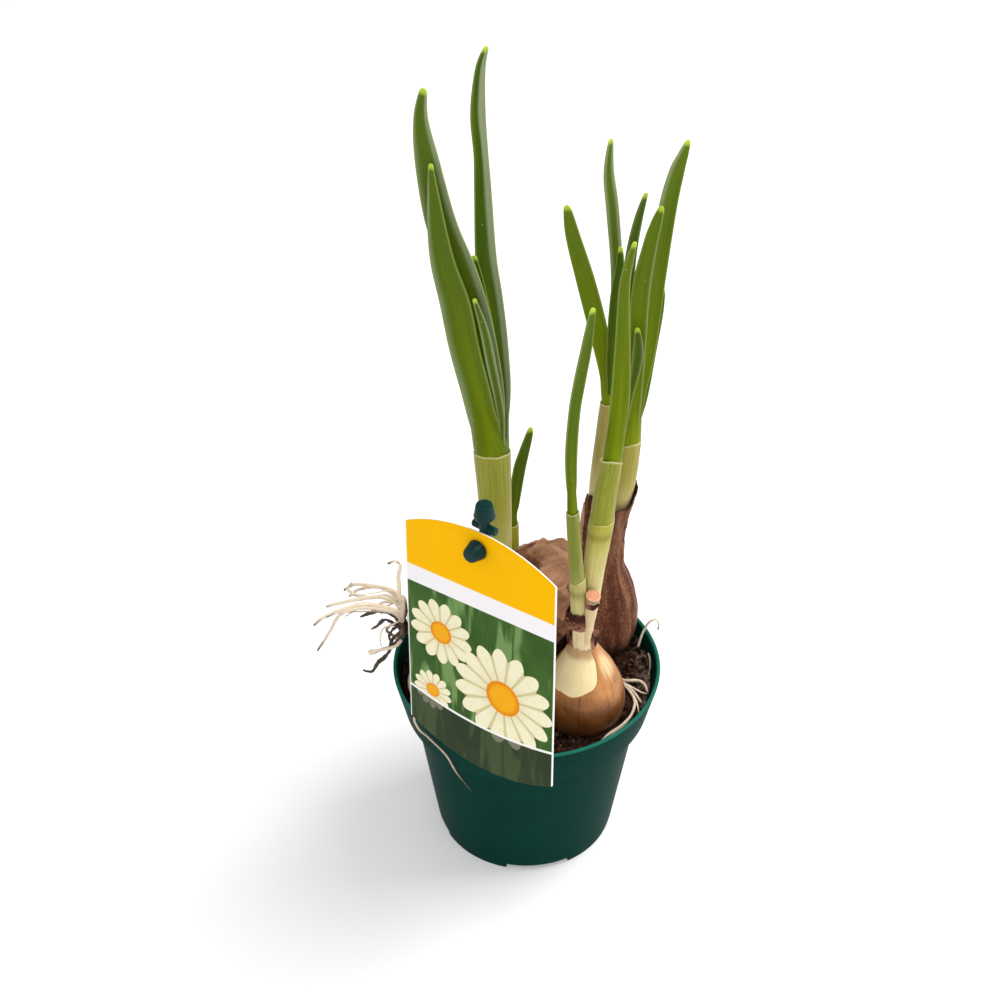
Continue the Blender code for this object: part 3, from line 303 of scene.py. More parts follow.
# How far each blade turns from its foot to its tip, in degrees
LEAF_TWIST = {
    "leaf_left_back": -22, "leaf_left_front": -24, "leaf_left_tall": 42, "leaf_left_small": 30,
    "leaf_rear_left_bent": -28, "leaf_rear_left_tall": 46, "leaf_rear_left_far": 34,
    "leaf_rear_left_near": -30, "leaf_centre": 20, "leaf_rear_right_near": -18,
    "leaf_rear_right_tall": 30, "leaf_rear_right_far": 38, "leaf_rear_right_short": -14,
    "leaf_front": 36,
}
# Each leaf: how yellow its green is and how much painted shade darkens it, then the grey bloom, partly a
# painted sheen, on its left and right margins at its foot and tip, and how far in from the margins
# the bloom reaches there
LEAF_LOOK = {
    "leaf_left_back": (0.4, 0.25, (0.6, 0.55), (1.3, 1.0), (0.7, 0.7)),
    "leaf_left_front": (0.75, 0.4, (0.8, 0.6), (0.35, 0.3), (0.75, 0.6)),
    "leaf_left_tall": (0.5, 0.95, (0.1, 0.1), (0.9, 1.7), (0.3, 1.5)),
    "leaf_left_short": (0.4, 0.6, (0.3, 0.1), (0.3, 0.2), (0.4, 0.3)),
    "leaf_left_sliver": (0.1, 0.3, (0.8, 0.7), (0.8, 0.7), (0.9, 0.9)),
    "leaf_left_small": (0.55, 0.6, (0.1, 0.0), (0.1, 0.1), (0.3, 0.3)),
    "leaf_rear_left_bent": (1.0, 0.0, (0.1, 0.1), (0.2, 0.1), (0.3, 0.3)),
    "leaf_rear_left_tall": (0.25, 0.3, (0.6, 0.6), (0.9, 0.9), (0.8, 1.0)),
    "leaf_rear_left_far": (0.1, 0.4, (0.5, 0.4), (0.4, 0.5), (0.9, 0.9)),
    "leaf_rear_left_near": (0.5, 0.85, (0.1, 0.0), (0.2, 0.1), (0.3, 0.3)),
    "leaf_centre": (0.9, 0.15, (0.3, 0.4), (0.3, 0.5), (0.3, 0.5)),
    "leaf_rear_right_near": (0.95, 0.0, (0.2, 0.2), (0.6, 0.5), (0.4, 0.35)),
    "leaf_rear_right_tall": (0.9, 0.2, (0.7, 0.7), (0.1, 0.2), (0.9, 1.0)),
    "leaf_rear_right_far": (0.3, 0.6, (0.4, 0.3), (0.3, 0.3), (0.5, 0.5)),
    "leaf_rear_right_short": (0.15, 0.45, (0.6, 0.5), (0.6, 0.5), (0.9, 0.9)),
    "leaf_front": (0.45, 0.25, (0.3, 0.4), (0.2, 0.4), (0.4, 0.6)),
}
LEAF_ROWS = 84
LEAF_COLUMNS = 15
MARGIN_POINTS = 3
# Above 1, the rows of a leaf crowd towards its tip, and its twist grows late
LEAF_EASE = 1.6
TWIST_EASE = 1.2
LEAF_MARGIN = 0.33
LEAF_SWELL = 0.5
LEAF_TAPER = 0.5
LEAF_KEEL = 0.35
LEAF_WAVE = 0.06
# The blunt tip: its width as a share of the last width given, and its length as a share of its own
TIP_WIDTH = 0.42
TIP_ROUNDED = 0.75
# How far round its channel half a leaf may reach, and round its sheath's wall where it lines it
WIDEST_CHANNEL = 1.3
MOUTH_TURN = 1.5
LINED_THICKNESS = 1.2

# The front bulb: its body, then the neck inside its papery scale
FRONT_BULB = [
    ((24.5, -22.0, 74.0), 7.0, 7.0), ((24.5, -22.0, 78.0), 12.6, 12.6),
    ((24.5, -22.0, 84.0), 16.9, 16.9), ((24.5, -22.0, 92.0), 18.5, 18.5),
    ((24.5, -22.1, 100.0), 17.6, 17.6), ((24.4, -22.4, 107.0), 15.0, 15.0),
    ((24.4, -22.9, 113.0), 12.3, 12.3), ((24.2, -23.4, 119.0), 9.0, 8.8),
    ((23.4, -24.0, 127.0), 5.6, 5.4), ((23.2, -24.5, 136.0), 6.6, 6.4),
    ((23.5, -24.5, 142.0), 7.5, 7.4), ((23.7, -24.5, 147.0), 8.2, 8.2),
]
FRONT_CUP = 9.0
FRONT_ROWS = 150
FRONT_COLUMNS = 216
FRONT_VEINS = 22
FRONT_SHOULDER_RADIUS = 14.0
# The skin that shows ends lower than the cup, under the papery scale
FRONT_SKIN = FRONT_BULB[:-3] + [((23.0, -24.4, 133.0), 5.7, 5.5), ((22.4, -24.9, 139.6), 5.1, 4.9)]
# The window torn in the skin: its middle's turn round the bulb and height, and half its size
TORN_TURN = math.radians(-125)
TORN_HEIGHT = 129.0
TORN_HALF_WIDTH = 17.5
TORN_HALF_HEIGHT = 23.0
# Where a pale highlight is painted on the skin: a turn round the bulb and a height
PAINTED_HIGHLIGHT_TURN = math.radians(-28)
PAINTED_HIGHLIGHT_HEIGHT = 117.0
# The turn where the papery scale is palest
SCALE_PALE_TURN = math.radians(-96)
FRONT_SCALE = [
    ((23.4, -24.2, 127.2), 6.0, 5.9), ((23.0, -24.5, 133.0), 6.2, 6.0),
    ((22.5, -25.0, 138.6), 5.7, 5.6),
]
FRONT_DARK_CUP = [
    ((21.7, -25.8, 138.4), 5.4, 5.4), ((21.4, -26.1, 142.0), 5.6, 5.5),
    ((21.4, -26.1, 145.2), 5.4, 5.2), ((21.4, -26.1, 146.8), 5.0, 4.8),
]
CUP_SHREDS = 14
# The cut-off stalk: places and radii up its side, then over its cut end
STUB_ROWS = 30
STUB_COURSE = [
    ((24.5, -28.9, 129.5), 1.1), ((24.9, -29.2, 134.0), 1.7), ((25.4, -29.5, 140.0), 2.1),
    ((26.0, -29.8, 147.0), 2.4), ((26.5, -30.1, 153.0), 2.7), ((26.7, -30.4, 156.6), 2.9),
    ((26.8, -30.7, 158.2), 3.1),
]
STUB_END = [
    ((26.83, -30.78, 158.6), 2.95), ((26.84, -30.81, 158.72), 2.4), ((26.84, -30.81, 158.73), 0.8),
]
# Dry shreds on the neck: a course, a width and how dark
NECK_SHREDS = [
    ([(27.4, -28.8, 138.0), (27.9, -28.4, 133.0), (28.2, -27.6, 127.4)], 3.2, 0.95),
    ([(29.0, -26.8, 136.0), (29.3, -26.2, 132.0), (29.1, -25.8, 128.0)], 2.2, 0.8),
    ([(17.9, -27.6, 139.0), (17.3, -27.2, 134.0), (17.7, -26.8, 128.5)], 2.4, 0.7),
    ([(23.7, -31.4, 155.6), (24.7, -33.1, 154.4), (26.8, -33.8, 154.2), (29.2, -32.4, 155.2)], 2.4, 1.0),
]
REAR_BULB = [
    ((32.6, 23.0, 80.0), 7.0, 7.0), ((32.6, 23.0, 83.5), 12.0, 12.0),
    ((32.6, 23.0, 89.0), 15.7, 15.7), ((32.6, 23.0, 97.0), 17.9, 17.9),
    ((32.4, 23.0, 106.0), 18.1, 18.1), ((32.1, 22.7, 115.0), 17.1, 17.0),
    ((32.5, 22.3, 124.0), 14.0, 14.0), ((32.6, 21.6, 133.0), 10.8, 10.8),
    ((33.0, 20.8, 142.0), 9.9, 9.4), ((33.4, 19.8, 151.0), 9.2, 8.4),
    ((34.3, 19.0, 159.0), 9.7, 7.8), ((35.1, 18.6, 166.0), 10.3, 7.9),
    ((35.9, 18.4, 172.0), 11.3, 8.4),
]
# The rear neck's torn mouth: the middle of each raised flap, how wide it is and how far it rises
REAR_TORN = [(12.0, 0.75, 8.5), (-142.0, 0.3, 6.0), (95.0, 0.5, 3.0)]
# Dry strips beside the rear neck: a course, a width, how pale, and how much lining shows
REAR_FLAPS = [
    ([(24.6, 13.2, 148), (23.2, 12.6, 156), (23.6, 12.8, 164), (24.2, 13.6, 173)], 3.0, 0.9, 0.0),
    ([(26.6, 11.4, 140), (25.4, 10.8, 148), (25.6, 11.2, 157), (26.4, 11.8, 163)], 2.4, 0.2, 0.0),
    ([(25.2, 12.2, 166), (25.2, 12.0, 172), (25.6, 12.4, 178)], 1.6, 0.0, 0.0),
]
REAR_CUP = 14.6
REAR_NECK_HEIGHT = 134
REAR_ROWS = 170
REAR_COLUMNS = 220
SKIN = 0.7
WALL_ROWS = 22
WALL_COLUMNS = 150
# Places across a dry strip, over its front and back again behind
RIBBON_PLACES = (-1, -0.5, 0, 0.5, 1, 0.5, 0, -0.5)
RIBBON_ROWS_A_POINT = 6

LEFT_BULB = [
    ((-52.5, 3.0, 117.5), 9.5, 9.5), ((-48.0, 3.0, 116.0), 15.5, 15.5),
    ((-40.0, 3.0, 114.0), 21.5, 21.5), ((-30.0, 3.0, 112.5), 25.4, 25.4),
    ((-20.0, 3.0, 113.0), 26.6, 26.6), ((-9.0, 4.5, 117.0), 23.5, 27.4),
    ((2.0, 6.0, 123.5), 17.0, 29.8), ((11.0, 6.0, 128.5), 11.5, 28.5),
    ((17.5, 5.5, 131.0), 7.5, 23.2), ((21.5, 5.0, 132.5), 4.0, 14.5),
]
LEFT_ROWS = 170
LEFT_COLUMNS = 240
# The share of the left bulb's length where its crumpled end begins, and over which it grows
CRUMPLED_FROM = 0.42
CRUMPLED_EASE = 0.2
CRUMPLE_SIZE = 11.0
CRUMPLE_DEPTH = 2.6
# A pit pressed into the crumpled end, where shade is painted: its middle, radius and depth
LEFT_PIT = Vector((1.0, -5.0, 154.0))
LEFT_PIT_RADIUS = 4.8
LEFT_PIT_DEPTH = 2.6
LEFT_COLLAR = [
    ((-11.6, 7.6, 126.0), 10.2, 13.2), ((-11.6, 7.6, 138.0), 9.6, 12.6),
    ((-11.6, 7.6, 145.0), 8.8, 11.8), ((-11.6, 7.6, 148.5), 8.4, 11.4),
]

# Roots: courses of points (x, y, z) with the strand's radius
PALE_CROWN = ((-55.1, 3.0, 121.6), (2.2, 7.0, 5.2))
PALE_ROOTS = [
    ([(-55, 2, 123), (-56, 1, 130), (-56, 0, 137), (-56, 0, 144), (-55, 0, 149), (-57, 0, 151.5),
      (-60.5, 0, 150)], 0.9),
    ([(-55, 4, 123), (-57, 5, 128), (-61, 6, 130.5), (-68, 7, 131.5), (-76, 8, 131.5),
      (-81, 8, 128)], 0.95),
    ([(-55, 6, 121), (-58, 6, 124), (-62, 6, 126.5), (-70, 5.5, 126), (-76, 6, 127.5),
      (-79, 6, 130.5), (-77, 7, 133.5)], 0.9),
    ([(-55, 0, 122), (-58, 0, 128), (-64, -1, 132), (-72, -2, 132), (-83, -3, 130),
      (-88, -3, 128)], 0.95),
    ([(-55, -1, 121), (-58, -4, 127), (-64, -6, 131), (-71, -8, 134), (-79, -10, 133),
      (-88, -12, 130), (-93, -12, 125)], 1.0),
    ([(-55, -2, 119), (-58, -6, 127), (-64, -9, 132), (-73, -11.5, 134.5), (-81, -14, 133),
      (-86, -14, 123), (-92, -14, 112)], 0.85),
    ([(-55, 8, 120), (-59, 11, 123), (-66, 15, 124), (-75, 17, 121), (-80, 19, 115)], 0.85),
    ([(-55, 7, 118), (-58, 11, 118), (-64, 14, 116), (-69, 18, 109)], 0.8),
]
DRY_CROWN = ((-54.9, 1.0, 112.6), (2.0, 5.5, 3.4))
DRY_ROOTS = [
    ([(-55.5, 3, 113.5), (-60, 4, 118), (-66, 4, 119.5), (-74, 3, 117)], 1.15),
    ([(-55.5, -1, 113.5), (-59.5, -2, 118), (-63, -2.5, 120), (-66, -3, 117), (-69, -3, 115)], 0.8),
    ([(-55.5, 2, 113), (-60.5, 3, 112), (-62.5, 3, 109), (-60, 3.5, 105.5), (-57.5, 3, 102)], 0.6),
    ([(-55.5, -1, 112), (-59.5, -3, 109), (-61.5, -5, 103), (-66, -7, 99), (-69, -8, 94.5),
      (-73, -9, 96.0)], 0.9),
    ([(-55.5, -2, 111.5), (-59.5, -4, 106.5), (-65, -4.5, 104), (-70, -5, 101.5)], 0.75),
    ([(-55.5, 4, 112), (-60, 7, 106), (-62, 9, 99.5), (-61.5, 11, 95.0)], 0.7),
]
# These lie on the compost: points (x, y, height above it)
FRONT_CROWN = ((42.3, -5.6, 85.3), (2.3, 2.3, 1.8))
FRONT_ROOTS = [
    ([(42.3, -5.4, 0.6), (46.0, -6.2, 1.3), (50.3, -6.4, 1.4), (53.0, -9.0, 0.9),
      (54.0, -13.5, 0.3)], 0.7),
    ([(42.3, -5.8, 0.4), (46.4, -10.6, 0.6), (48.8, -14.6, 0.4), (51.0, -19.0, 0)], 0.6),
    ([(42.3, -6.2, 0.3), (46.4, -12.6, 0), (47.8, -18.9, 0), (45.7, -26.3, 0), (41.3, -32.6, 0),
      (35.4, -38.0, 0), (31.6, -42.4, 0)], 0.7),
]
SOIL_STRAND = ([(-52.0, -1.0, 0), (-52.5, -8.0, 0), (-50.5, -16.0, 0), (-46.0, -25.0, 0)], 0.85)
RIM_ROOT = ([(51.4, 17.4, 85.2), (52.4, 19.0, 89.6), (54.3, 20.9, 94.0), (56.4, 20.6, 98.5),
             (59.2, 20.4, 100.0), (60.5, 20.4, 97.2), (60.2, 20.4, 93.7)], 0.6)
HANGING_ROOT = ([(-43.4, -27.0, 84.7), (-45.6, -30.4, 90.0), (-46.8, -32.6, 94.2),
                 (-48.6, -35.2, 95.1), (-49.2, -37.4, 92.8), (-46.9, -39.9, 89.4),
                 (-43.4, -41.6, 87.0), (-35.9, -46.9, 82.0), (-32.7, -47.3, 75.0),
                 (-30.9, -43.2, 66.0), (-24.8, -43.8, 55.6)], 0.5)
# Thin rootlets among the left roots: a course, a radius, and their tip, pink and grey tones
FINE_ROOTS = [
    ([(-56, -3, 120), (-60, -5, 119), (-63.5, -5, 117), (-65, -5, 111), (-64.3, -5, 106)], 0.38,
     (0.0, 1.0, 0.1)),
    ([(-57, 2, 127), (-64, 0, 125), (-73, -3, 127), (-80, -5, 124)], 0.3, (1.0, 0.2, 0.9)),
    ([(-58, -5, 126), (-66, -6, 128), (-76, -4, 126), (-84, -6, 127)], 0.28, (1.0, 0.2, 0.8)),
    ([(-56, 5, 126), (-60, 2, 133), (-67, -3, 136), (-76, -6, 137)], 0.35, (1.0, 0.1, 0.2)),
]
BUD_ROOT = [(-55.5, -4.5, 110), (-58, -6, 107.8), (-62.5, -6.4, 106.4), (-67, -6.2, 105),
            (-70.5, -6, 103.6)]
# Thinner roots that lie with the front ones
FRONT_ROOTLETS = [
    ([(42.6, -5.8, 0.5), (46.8, -9.6, 0.9), (51.0, -12.6, 0.5), (54.0, -13.2, 0.1)], 0.4,
     (1.0, 0.2, 0.2)),
    ([(47.4, -14.5, 0.4), (48.8, -19.0, 0.2), (49.4, -24.6, 0)], 0.45, (0.6, 0.6, 0.2)),
    ([(47.4, -23.0, 0.1), (43.6, -30.6, 0), (38.2, -36.6, 0), (33.6, -40.9, 0)], 0.4,
     (1.0, 0.3, 0.9)),
]
RIM_MEMBRANE = [(55.4, 10.0, 88.8), (55.9, 6.4, 88.4), (55.8, 2.4, 87.4), (54.9, -1.6, 86.0)]
ROOT_SIDES = 10
ROOT_ROWS_A_POINT = 9
HAIR_RADIUS = 0.06
CROWN_ROWS = 12
CROWN_COLUMNS = 24


def display(red, green, blue):
    """A colour as it shows on a screen, 0 to 255, turned into the linear values of a shader."""
    def linear(value):
        share = value / 255
        return share / 12.92 if share <= 0.04045 else ((share + 0.055) / 1.055) ** 2.4
    return (linear(red), linear(green), linear(blue), 1.0)


class Wire:
    """A value in a material, which takes arithmetic by adding Math nodes."""

    def __init__(self, finish, socket):
        self.finish = finish
        self.socket = socket

    def __add__(self, other):
        return reckon("ADD", self, other)

    def __radd__(self, other):
        return reckon("ADD", other, self)

    def __sub__(self, other):
        return reckon("SUBTRACT", self, other)

    def __rsub__(self, other):
        return reckon("SUBTRACT", other, self)

    def __mul__(self, other):
        return reckon("MULTIPLY", self, other)

    def __rmul__(self, other):
        return reckon("MULTIPLY", other, self)

    def __truediv__(self, other):
        return reckon("DIVIDE", self, other)

    def __pow__(self, other):
        return reckon("POWER", self, other)

    def __abs__(self):
        return reckon("ABSOLUTE", self)


def reckon(operation, *values):
    """Add a Math node for the values, of which at least one is a Wire."""
    finish = next(value.finish for value in values if isinstance(value, Wire))
    return finish.wire("ShaderNodeMath", {"operation": operation}, dict(enumerate(values)))


def ramp(value, low, high):
    """A soft step of the value: 0 below low, 1 above high."""
    return value.finish.wire(
        "ShaderNodeMapRange",
        {"interpolation_type": "SMOOTHSTEP"},
        {"Value": value, "From Min": low, "From Max": high},
    )


def mix(share, first, second):
    """The first colour where share is 0, and the second where it is 1.

    A colour of three numbers is one as it shows on a screen, from 0 to 255.
    """
    first, second = [
        display(*colour) if isinstance(colour, tuple) and len(colour) == 3 else colour
        for colour in (first, second)
    ]
    settings = {"data_type": "RGBA", "clamp_factor": True}
    return share.finish.wire("ShaderNodeMix", settings, {0: share, 6: first, 7: second}, 2)


def layered(colour, *layers):
    """A colour with others laid over it in turn, each given as its share and the colour."""
    for share, over in layers:
        colour = mix(share, colour, over)
    return colour


class Finish:
    """One material: its shader's constant values, and the nodes that vary over the surface."""

    def __init__(self, name, **constants):
        self.material = bpy.data.materials.new(name)
        self.material.use_nodes = True
        self.tree = self.material.node_tree
        self.shader = self.tree.nodes["Principled BSDF"]
        for socket, value in constants.items():
            self.shader.inputs[socket.replace("_", " ")].default_value = value

    def node(self, kind, settings, inputs):
        """Add a node: its settings come first, then its sockets' values or links."""
        made = self.tree.nodes.new(kind)
        for name, value in settings.items():
            setattr(made, name, value)
        for socket, value in inputs.items():
            if isinstance(value, Wire):
                self.tree.links.new(value.socket, made.inputs[socket])
            else:
                made.inputs[socket].default_value = value
        return made

    def wire(self, kind, settings, inputs, output=0):
        """Add a node and give the value of one of its outputs."""
        return Wire(self, self.node(kind, settings, inputs).outputs[output])

    def mark(self, name):
        """A vector that the mesh carries at each of its points."""
        return self.wire("ShaderNodeAttribute", {"attribute_name": name}, {}, "Vector")

    def parts(self, vector):
        """The three numbers of a vector."""
        split = self.node("ShaderNodeSeparateXYZ", {}, {0: vector})
        return [Wire(self, output) for output in split.outputs]

    def stretched(self, vector, scale):
        """The vector with each of its three numbers scaled."""
        return self.wire("ShaderNodeVectorMath", {"operation": "MULTIPLY"}, {0: vector, 1: scale})

    def grain(self, vector, scale, detail=3.0, roughness=0.55, warp=0.0):
        """A noise from 0 to 1, with features about 1 / scale millimetres wide.

        A scale of three numbers draws the features out where its number is small.
        """
        if isinstance(scale, tuple):
            vector = self.stretched(vector, scale)
            scale = 1.0
        sockets = {"Vector": vector, "Scale": scale, "Detail": detail, "Roughness": roughness,
                   "Distortion": warp}
        return self.wire("ShaderNodeTexNoise", {}, sockets)

    def cells(self, vector, scale):
        """The distance to the nearest of many scattered points."""
        return self.wire("ShaderNodeTexVoronoi", {}, {"Vector": vector, "Scale": scale})

    def paint(self, **sockets):
        """Link values to the shader's sockets, whose spaces are written as underscores."""
        for name, value in sockets.items():
            self.tree.links.new(value.socket, self.shader.inputs[name.replace("_", " ")])

    def glow(self, weight, radius, scale):
        """Let light through just under the surface, as deep as the scale in millimetres."""
        for name, value in (("Weight", weight), ("Radius", radius), ("Scale", scale * MM)):
            self.shader.inputs["Subsurface " + name].default_value = value

    def relief(self, height, depth):
        """A bump of the given depth in millimetres."""
        bump = self.wire("ShaderNodeBump", {}, {"Height": height, "Distance": depth * MM})
        self.paint(Normal=bump)


class Form:
    """The points and faces of a piece, gathered from one or more closed forms.

    Each point carries three marks for its finish: grain is its place along and across the
    surface in millimetres, share is its place as a share of the form, and tone is the form's own
    character.
    """

    def __init__(self):
        self.points = []
        self.faces = []
        self.marks = {"grain": [], "share": [], "tone": []}

    def wrap(self, rows, grain, share, tone=(0.0, 0.0, 0.0), joined=False):
        """Add rows of points that loop round, with a fan over each end or the ends joined.

        A mark that is the same all along a row, or on every row, may be given once.
        """
        rows = np.asarray(rows, float)
        count, columns, _ = rows.shape
        start = len(self.points)
        index = start + np.arange(count * columns).reshape(count, columns)
        if joined:
            index = np.vstack([index, index[:1]])
        low = index[:-1]
        high = index[1:]
        quads = np.stack([low, np.roll(low, -1, 1), np.roll(high, -1, 1), high], axis=-1)
        self.faces.extend(quads.reshape(-1, 4).tolist())
        self.points.extend(rows.reshape(-1, 3).tolist())
        given = {"grain": grain, "share": share, "tone": tone}
        for name, values in given.items():
            values = np.broadcast_to(np.asarray(values, float), rows.shape)
            self.marks[name].extend(values.reshape(-1, 3).tolist())
        if joined:
            return
        for row, turned_over in ((index[0], True), (index[-1], False)):
            middle = len(self.points)
            members = row.tolist()
            self.points.append(np.mean([self.points[i] for i in members], axis=0).tolist())
            for name in given:
                self.marks[name].append(self.marks[name][members[0]])
            for i, j in zip(members, members[1:] + members[:1]):
                self.faces.append((j, i, middle) if turned_over else (i, j, middle))

    def piece(self, name, finish, sharp=60.0):
        """The piece as one object, with its finish, shaded smooth up to the sharp angle."""
        mesh = bpy.data.meshes.new(name)
        mesh.from_pydata((np.array(self.points) * MM).tolist(), [], self.faces)
        write_marks(mesh, self.marks)
        whole = bmesh.new()
        whole.from_mesh(mesh)
        bmesh.ops.recalc_face_normals(whole, faces=whole.faces)
        whole.to_mesh(mesh)
        whole.free()
        mesh.shade_smooth()
        mesh.set_sharp_from_angle(angle=math.radians(sharp))
        item = bpy.data.objects.new(name, mesh)
        item.data.materials.append(finish.material)
        bpy.context.scene.collection.objects.link(item)
        return item


def write_marks(mesh, marks):
    """Give a mesh its named marks, each one vector for every point."""
    for mark, values in marks.items():
        attribute = mesh.attributes.new(mark, "FLOAT_VECTOR", "POINT")
        attribute.data.foreach_set("vector", np.array(values, np.float32).ravel())


def dress(item, slot, *nodes):
    """Fix a piece to the plant, where it stands for the named solids, which it hides; the slot is not
    used.
    """
    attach(item, "root")
    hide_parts(*nodes)


def clamp(value):
    """The value, kept between 0 and 1."""
    return min(max(value, 0.0), 1.0)


def hump(value, middle, width):
    """1 at the middle, falling away softly to both sides."""
    return math.exp(-((value - middle) / width) ** 2)


def heading(turn):
    """The level direction at a turn round the upright axis."""
    return Vector((math.cos(turn), math.sin(turn), 0))


def on_ball(tilt, turn):
    """The direction from a ball's middle at a tilt from straight down and a turn."""
    return Vector((math.sin(tilt) * math.cos(turn), math.sin(tilt) * math.sin(turn), -math.cos(tilt)))


def turn_from(turn, middle, cycle=TURN):
    """How far a turn lies from the middle one, the short way round its cycle."""
    return (turn - middle + cycle / 2) % cycle - cycle / 2


def turns_round(count):
    """Evenly spaced turns, once round."""
    return [TURN * i / count for i in range(count)]


def circle(turns, radius, height):
    """The points of a level circle at the given turns."""
    return [(radius * math.cos(turn), radius * math.sin(turn), height) for turn in turns]


def along(values, t):
    """The value at t, from 0 to 1, on a smooth curve through the listed vectors or numbers."""
    last = len(values) - 1
    where = clamp(t) * last
    index = min(int(where), last - 1)
    u = where - index
    before = values[max(index - 1, 0)]
    start = values[index]
    end = values[index + 1]
    after = values[min(index + 2, last)]
    slope = (end - before) * 0.5
    next_slope = (after - start) * 0.5
    return (
        start * (2 * u ** 3 - 3 * u ** 2 + 1)
        + slope * (u ** 3 - 2 * u ** 2 + u)
        + end * (3 * u ** 2 - 2 * u ** 3)
        + next_slope * (u ** 3 - u ** 2)
    )


def station(stations, t):
    """The middle, half width and half depth at t of a form that is given by stations."""
    middle = along([Vector(c) for c, _, _ in stations], t)
    half_width = along([a for _, a, _ in stations], t)
    half_depth = along([b for _, _, b in stations], t)
    return middle, half_width, half_depth


def station_at(stations, height):
    """The same at a height, for a form that rises through its stations."""
    low = 0.0
    high = 1.0
    for _ in range(24):
        t = (low + high) / 2
        if station(stations, t)[0].z < height:
            low = t
        else:
            high = t
    return station(stations, (low + high) / 2)


def oval_point(stop, turn, extra, height):
    """The point at a turn round a station's oval, moved out by extra, at a height."""
    middle, half_width, half_depth = stop
    return (middle.x + (half_width + extra) * math.cos(turn),
            middle.y + (half_depth + extra) * math.sin(turn), height)


def rough(point, size, octaves=3):
    """A smooth random value from about -1 to 1 that varies over the given size in millimetres."""
    return noise.fractal(Vector(point) / size, 0.6, 2.1, octaves)


def ridged(turn, height, count, seed):
    """Uneven ridges that run up a round form: count of them, from about -1 to 1."""
    around = heading(turn) * (count / TURN)
    return noise.noise(around + UP * (height * 0.03 + seed))


def build_camera():
    """The camera, where the photographer stood."""
    data = bpy.data.cameras.new("camera")
    data.lens = CAMERA_LENS
    data.clip_end = 20.0
    camera = bpy.data.objects.new("camera", data)
    camera.location = Vector(CAMERA_PLACE) * MM
    camera.rotation_euler = (math.radians(CAMERA_TILT), 0, 0)
    bpy.context.scene.collection.objects.link(camera)
    bpy.context.scene.camera = camera


def build_light(name, place, size, power, colour):
    """A soft square lamp that faces the pot."""
    data = bpy.data.lights.new(name, "AREA")
    data.size = size
    data.energy = power
    data.color = colour
    lamp = bpy.data.objects.new(name, data)
    lamp.location = place
    aim = Vector(LAMP_AIM) - Vector(place)
    lamp.rotation_euler = aim.to_track_quat("-Z", "Y").to_euler()
    bpy.context.scene.collection.objects.link(lamp)


def build_studio():
    """A pale floor under an even white sky, with a soft lamp at the right and a weak one in front."""
    world = bpy.data.worlds.new("studio")
    world.use_nodes = True
    sky = world.node_tree.nodes["Background"]
    sky.inputs["Color"].default_value = (1.0, 1.0, 1.0, 1.0)
    sky.inputs["Strength"].default_value = SKY_STRENGTH
    bpy.context.scene.world = world
    bpy.context.scene.view_settings.view_transform = "Standard"
    for lamp in LAMPS:
        build_light(*lamp)
    finish = Finish("floor_white", Roughness=0.9, Specular_IOR_Level=0.1,
                    Emission_Color=(1.0, 1.0, 1.0, 1.0), Emission_Strength=FLOOR_GLOW)
    place = finish.wire("ShaderNodeTexCoord", {}, {}, "Object")
    tone = finish.grain(place, 3.0, 2.0)
    finish.paint(Base_Color=mix(tone, (0.80, 0.80, 0.80, 1.0), (0.83, 0.83, 0.83, 1.0)))
    bpy.ops.mesh.primitive_plane_add(size=FLOOR_SIZE)
    floor = bpy.context.object
    floor.name = "floor"
    floor.data.materials.append(finish.material)


def pot_green():
    """Satin moulded plastic: a faint mottle, fine scuffs round the wall, dust at the lip and a painted
    highlight along the lip's top.
    """
    finish = Finish("pot_green", Specular_IOR_Level=0.013)
    grain = finish.mark("grain")
    _, height, _ = finish.parts(finish.mark("share"))
    mottle = finish.grain(grain, 0.05, 3.0)
    scuffs = finish.grain(grain, (0.06, 0.06, 1.4), 4.0, 0.7)
    marks = ramp(scuffs, 0.62, 0.78)
    dust = ramp(finish.grain(grain, 0.35, 5.0, 0.7), 0.5, 0.75) * ramp(height, 70.0, 93.0)
    specks = 1 - ramp(finish.cells(grain, 0.07), 0.02, 0.035)
    # Painted highlight: the top of the lip is painted a paler teal, where it faces the light.
    lip = ramp(height, 91.4, 92.8)
    colour = layered(
        mix(mottle, (3, 46, 40), (8, 58, 50)),
        (marks * 0.2, (34, 82, 72)),
        (dust * 0.15, (80, 92, 80)),
        (specks * 0.5, (120, 160, 150)),
        (lip * 0.7, (38, 118, 100)),
    )
    finish.paint(Base_Color=colour, Roughness=0.4 + mottle * 0.1 + marks * 0.12 + dust * 0.2)
    finish.relief(finish.grain(grain, 2.2, 3.0) * 0.5 + scuffs * 0.5, 0.04)
    return finish


def stake_teal():
    """Dark teal moulded plastic, glossy and scuffed paler."""
    finish = Finish("stake_teal", Specular_IOR_Level=0.12)
    grain = finish.mark("grain")
    mottle = finish.grain(grain, 0.35, 4.0)
    scuffs = ramp(finish.grain(grain, 1.1, 5.0, 0.7), 0.58, 0.7)
    body = mix(mottle, (4, 36, 38), (14, 58, 56))
    finish.paint(Base_Color=mix(scuffs * 0.25, body, (76, 118, 112)))
    finish.paint(Roughness=0.26 + mottle * 0.12 + scuffs * 0.15)
    finish.relief(mottle + scuffs * 0.4, 0.12)
    return finish


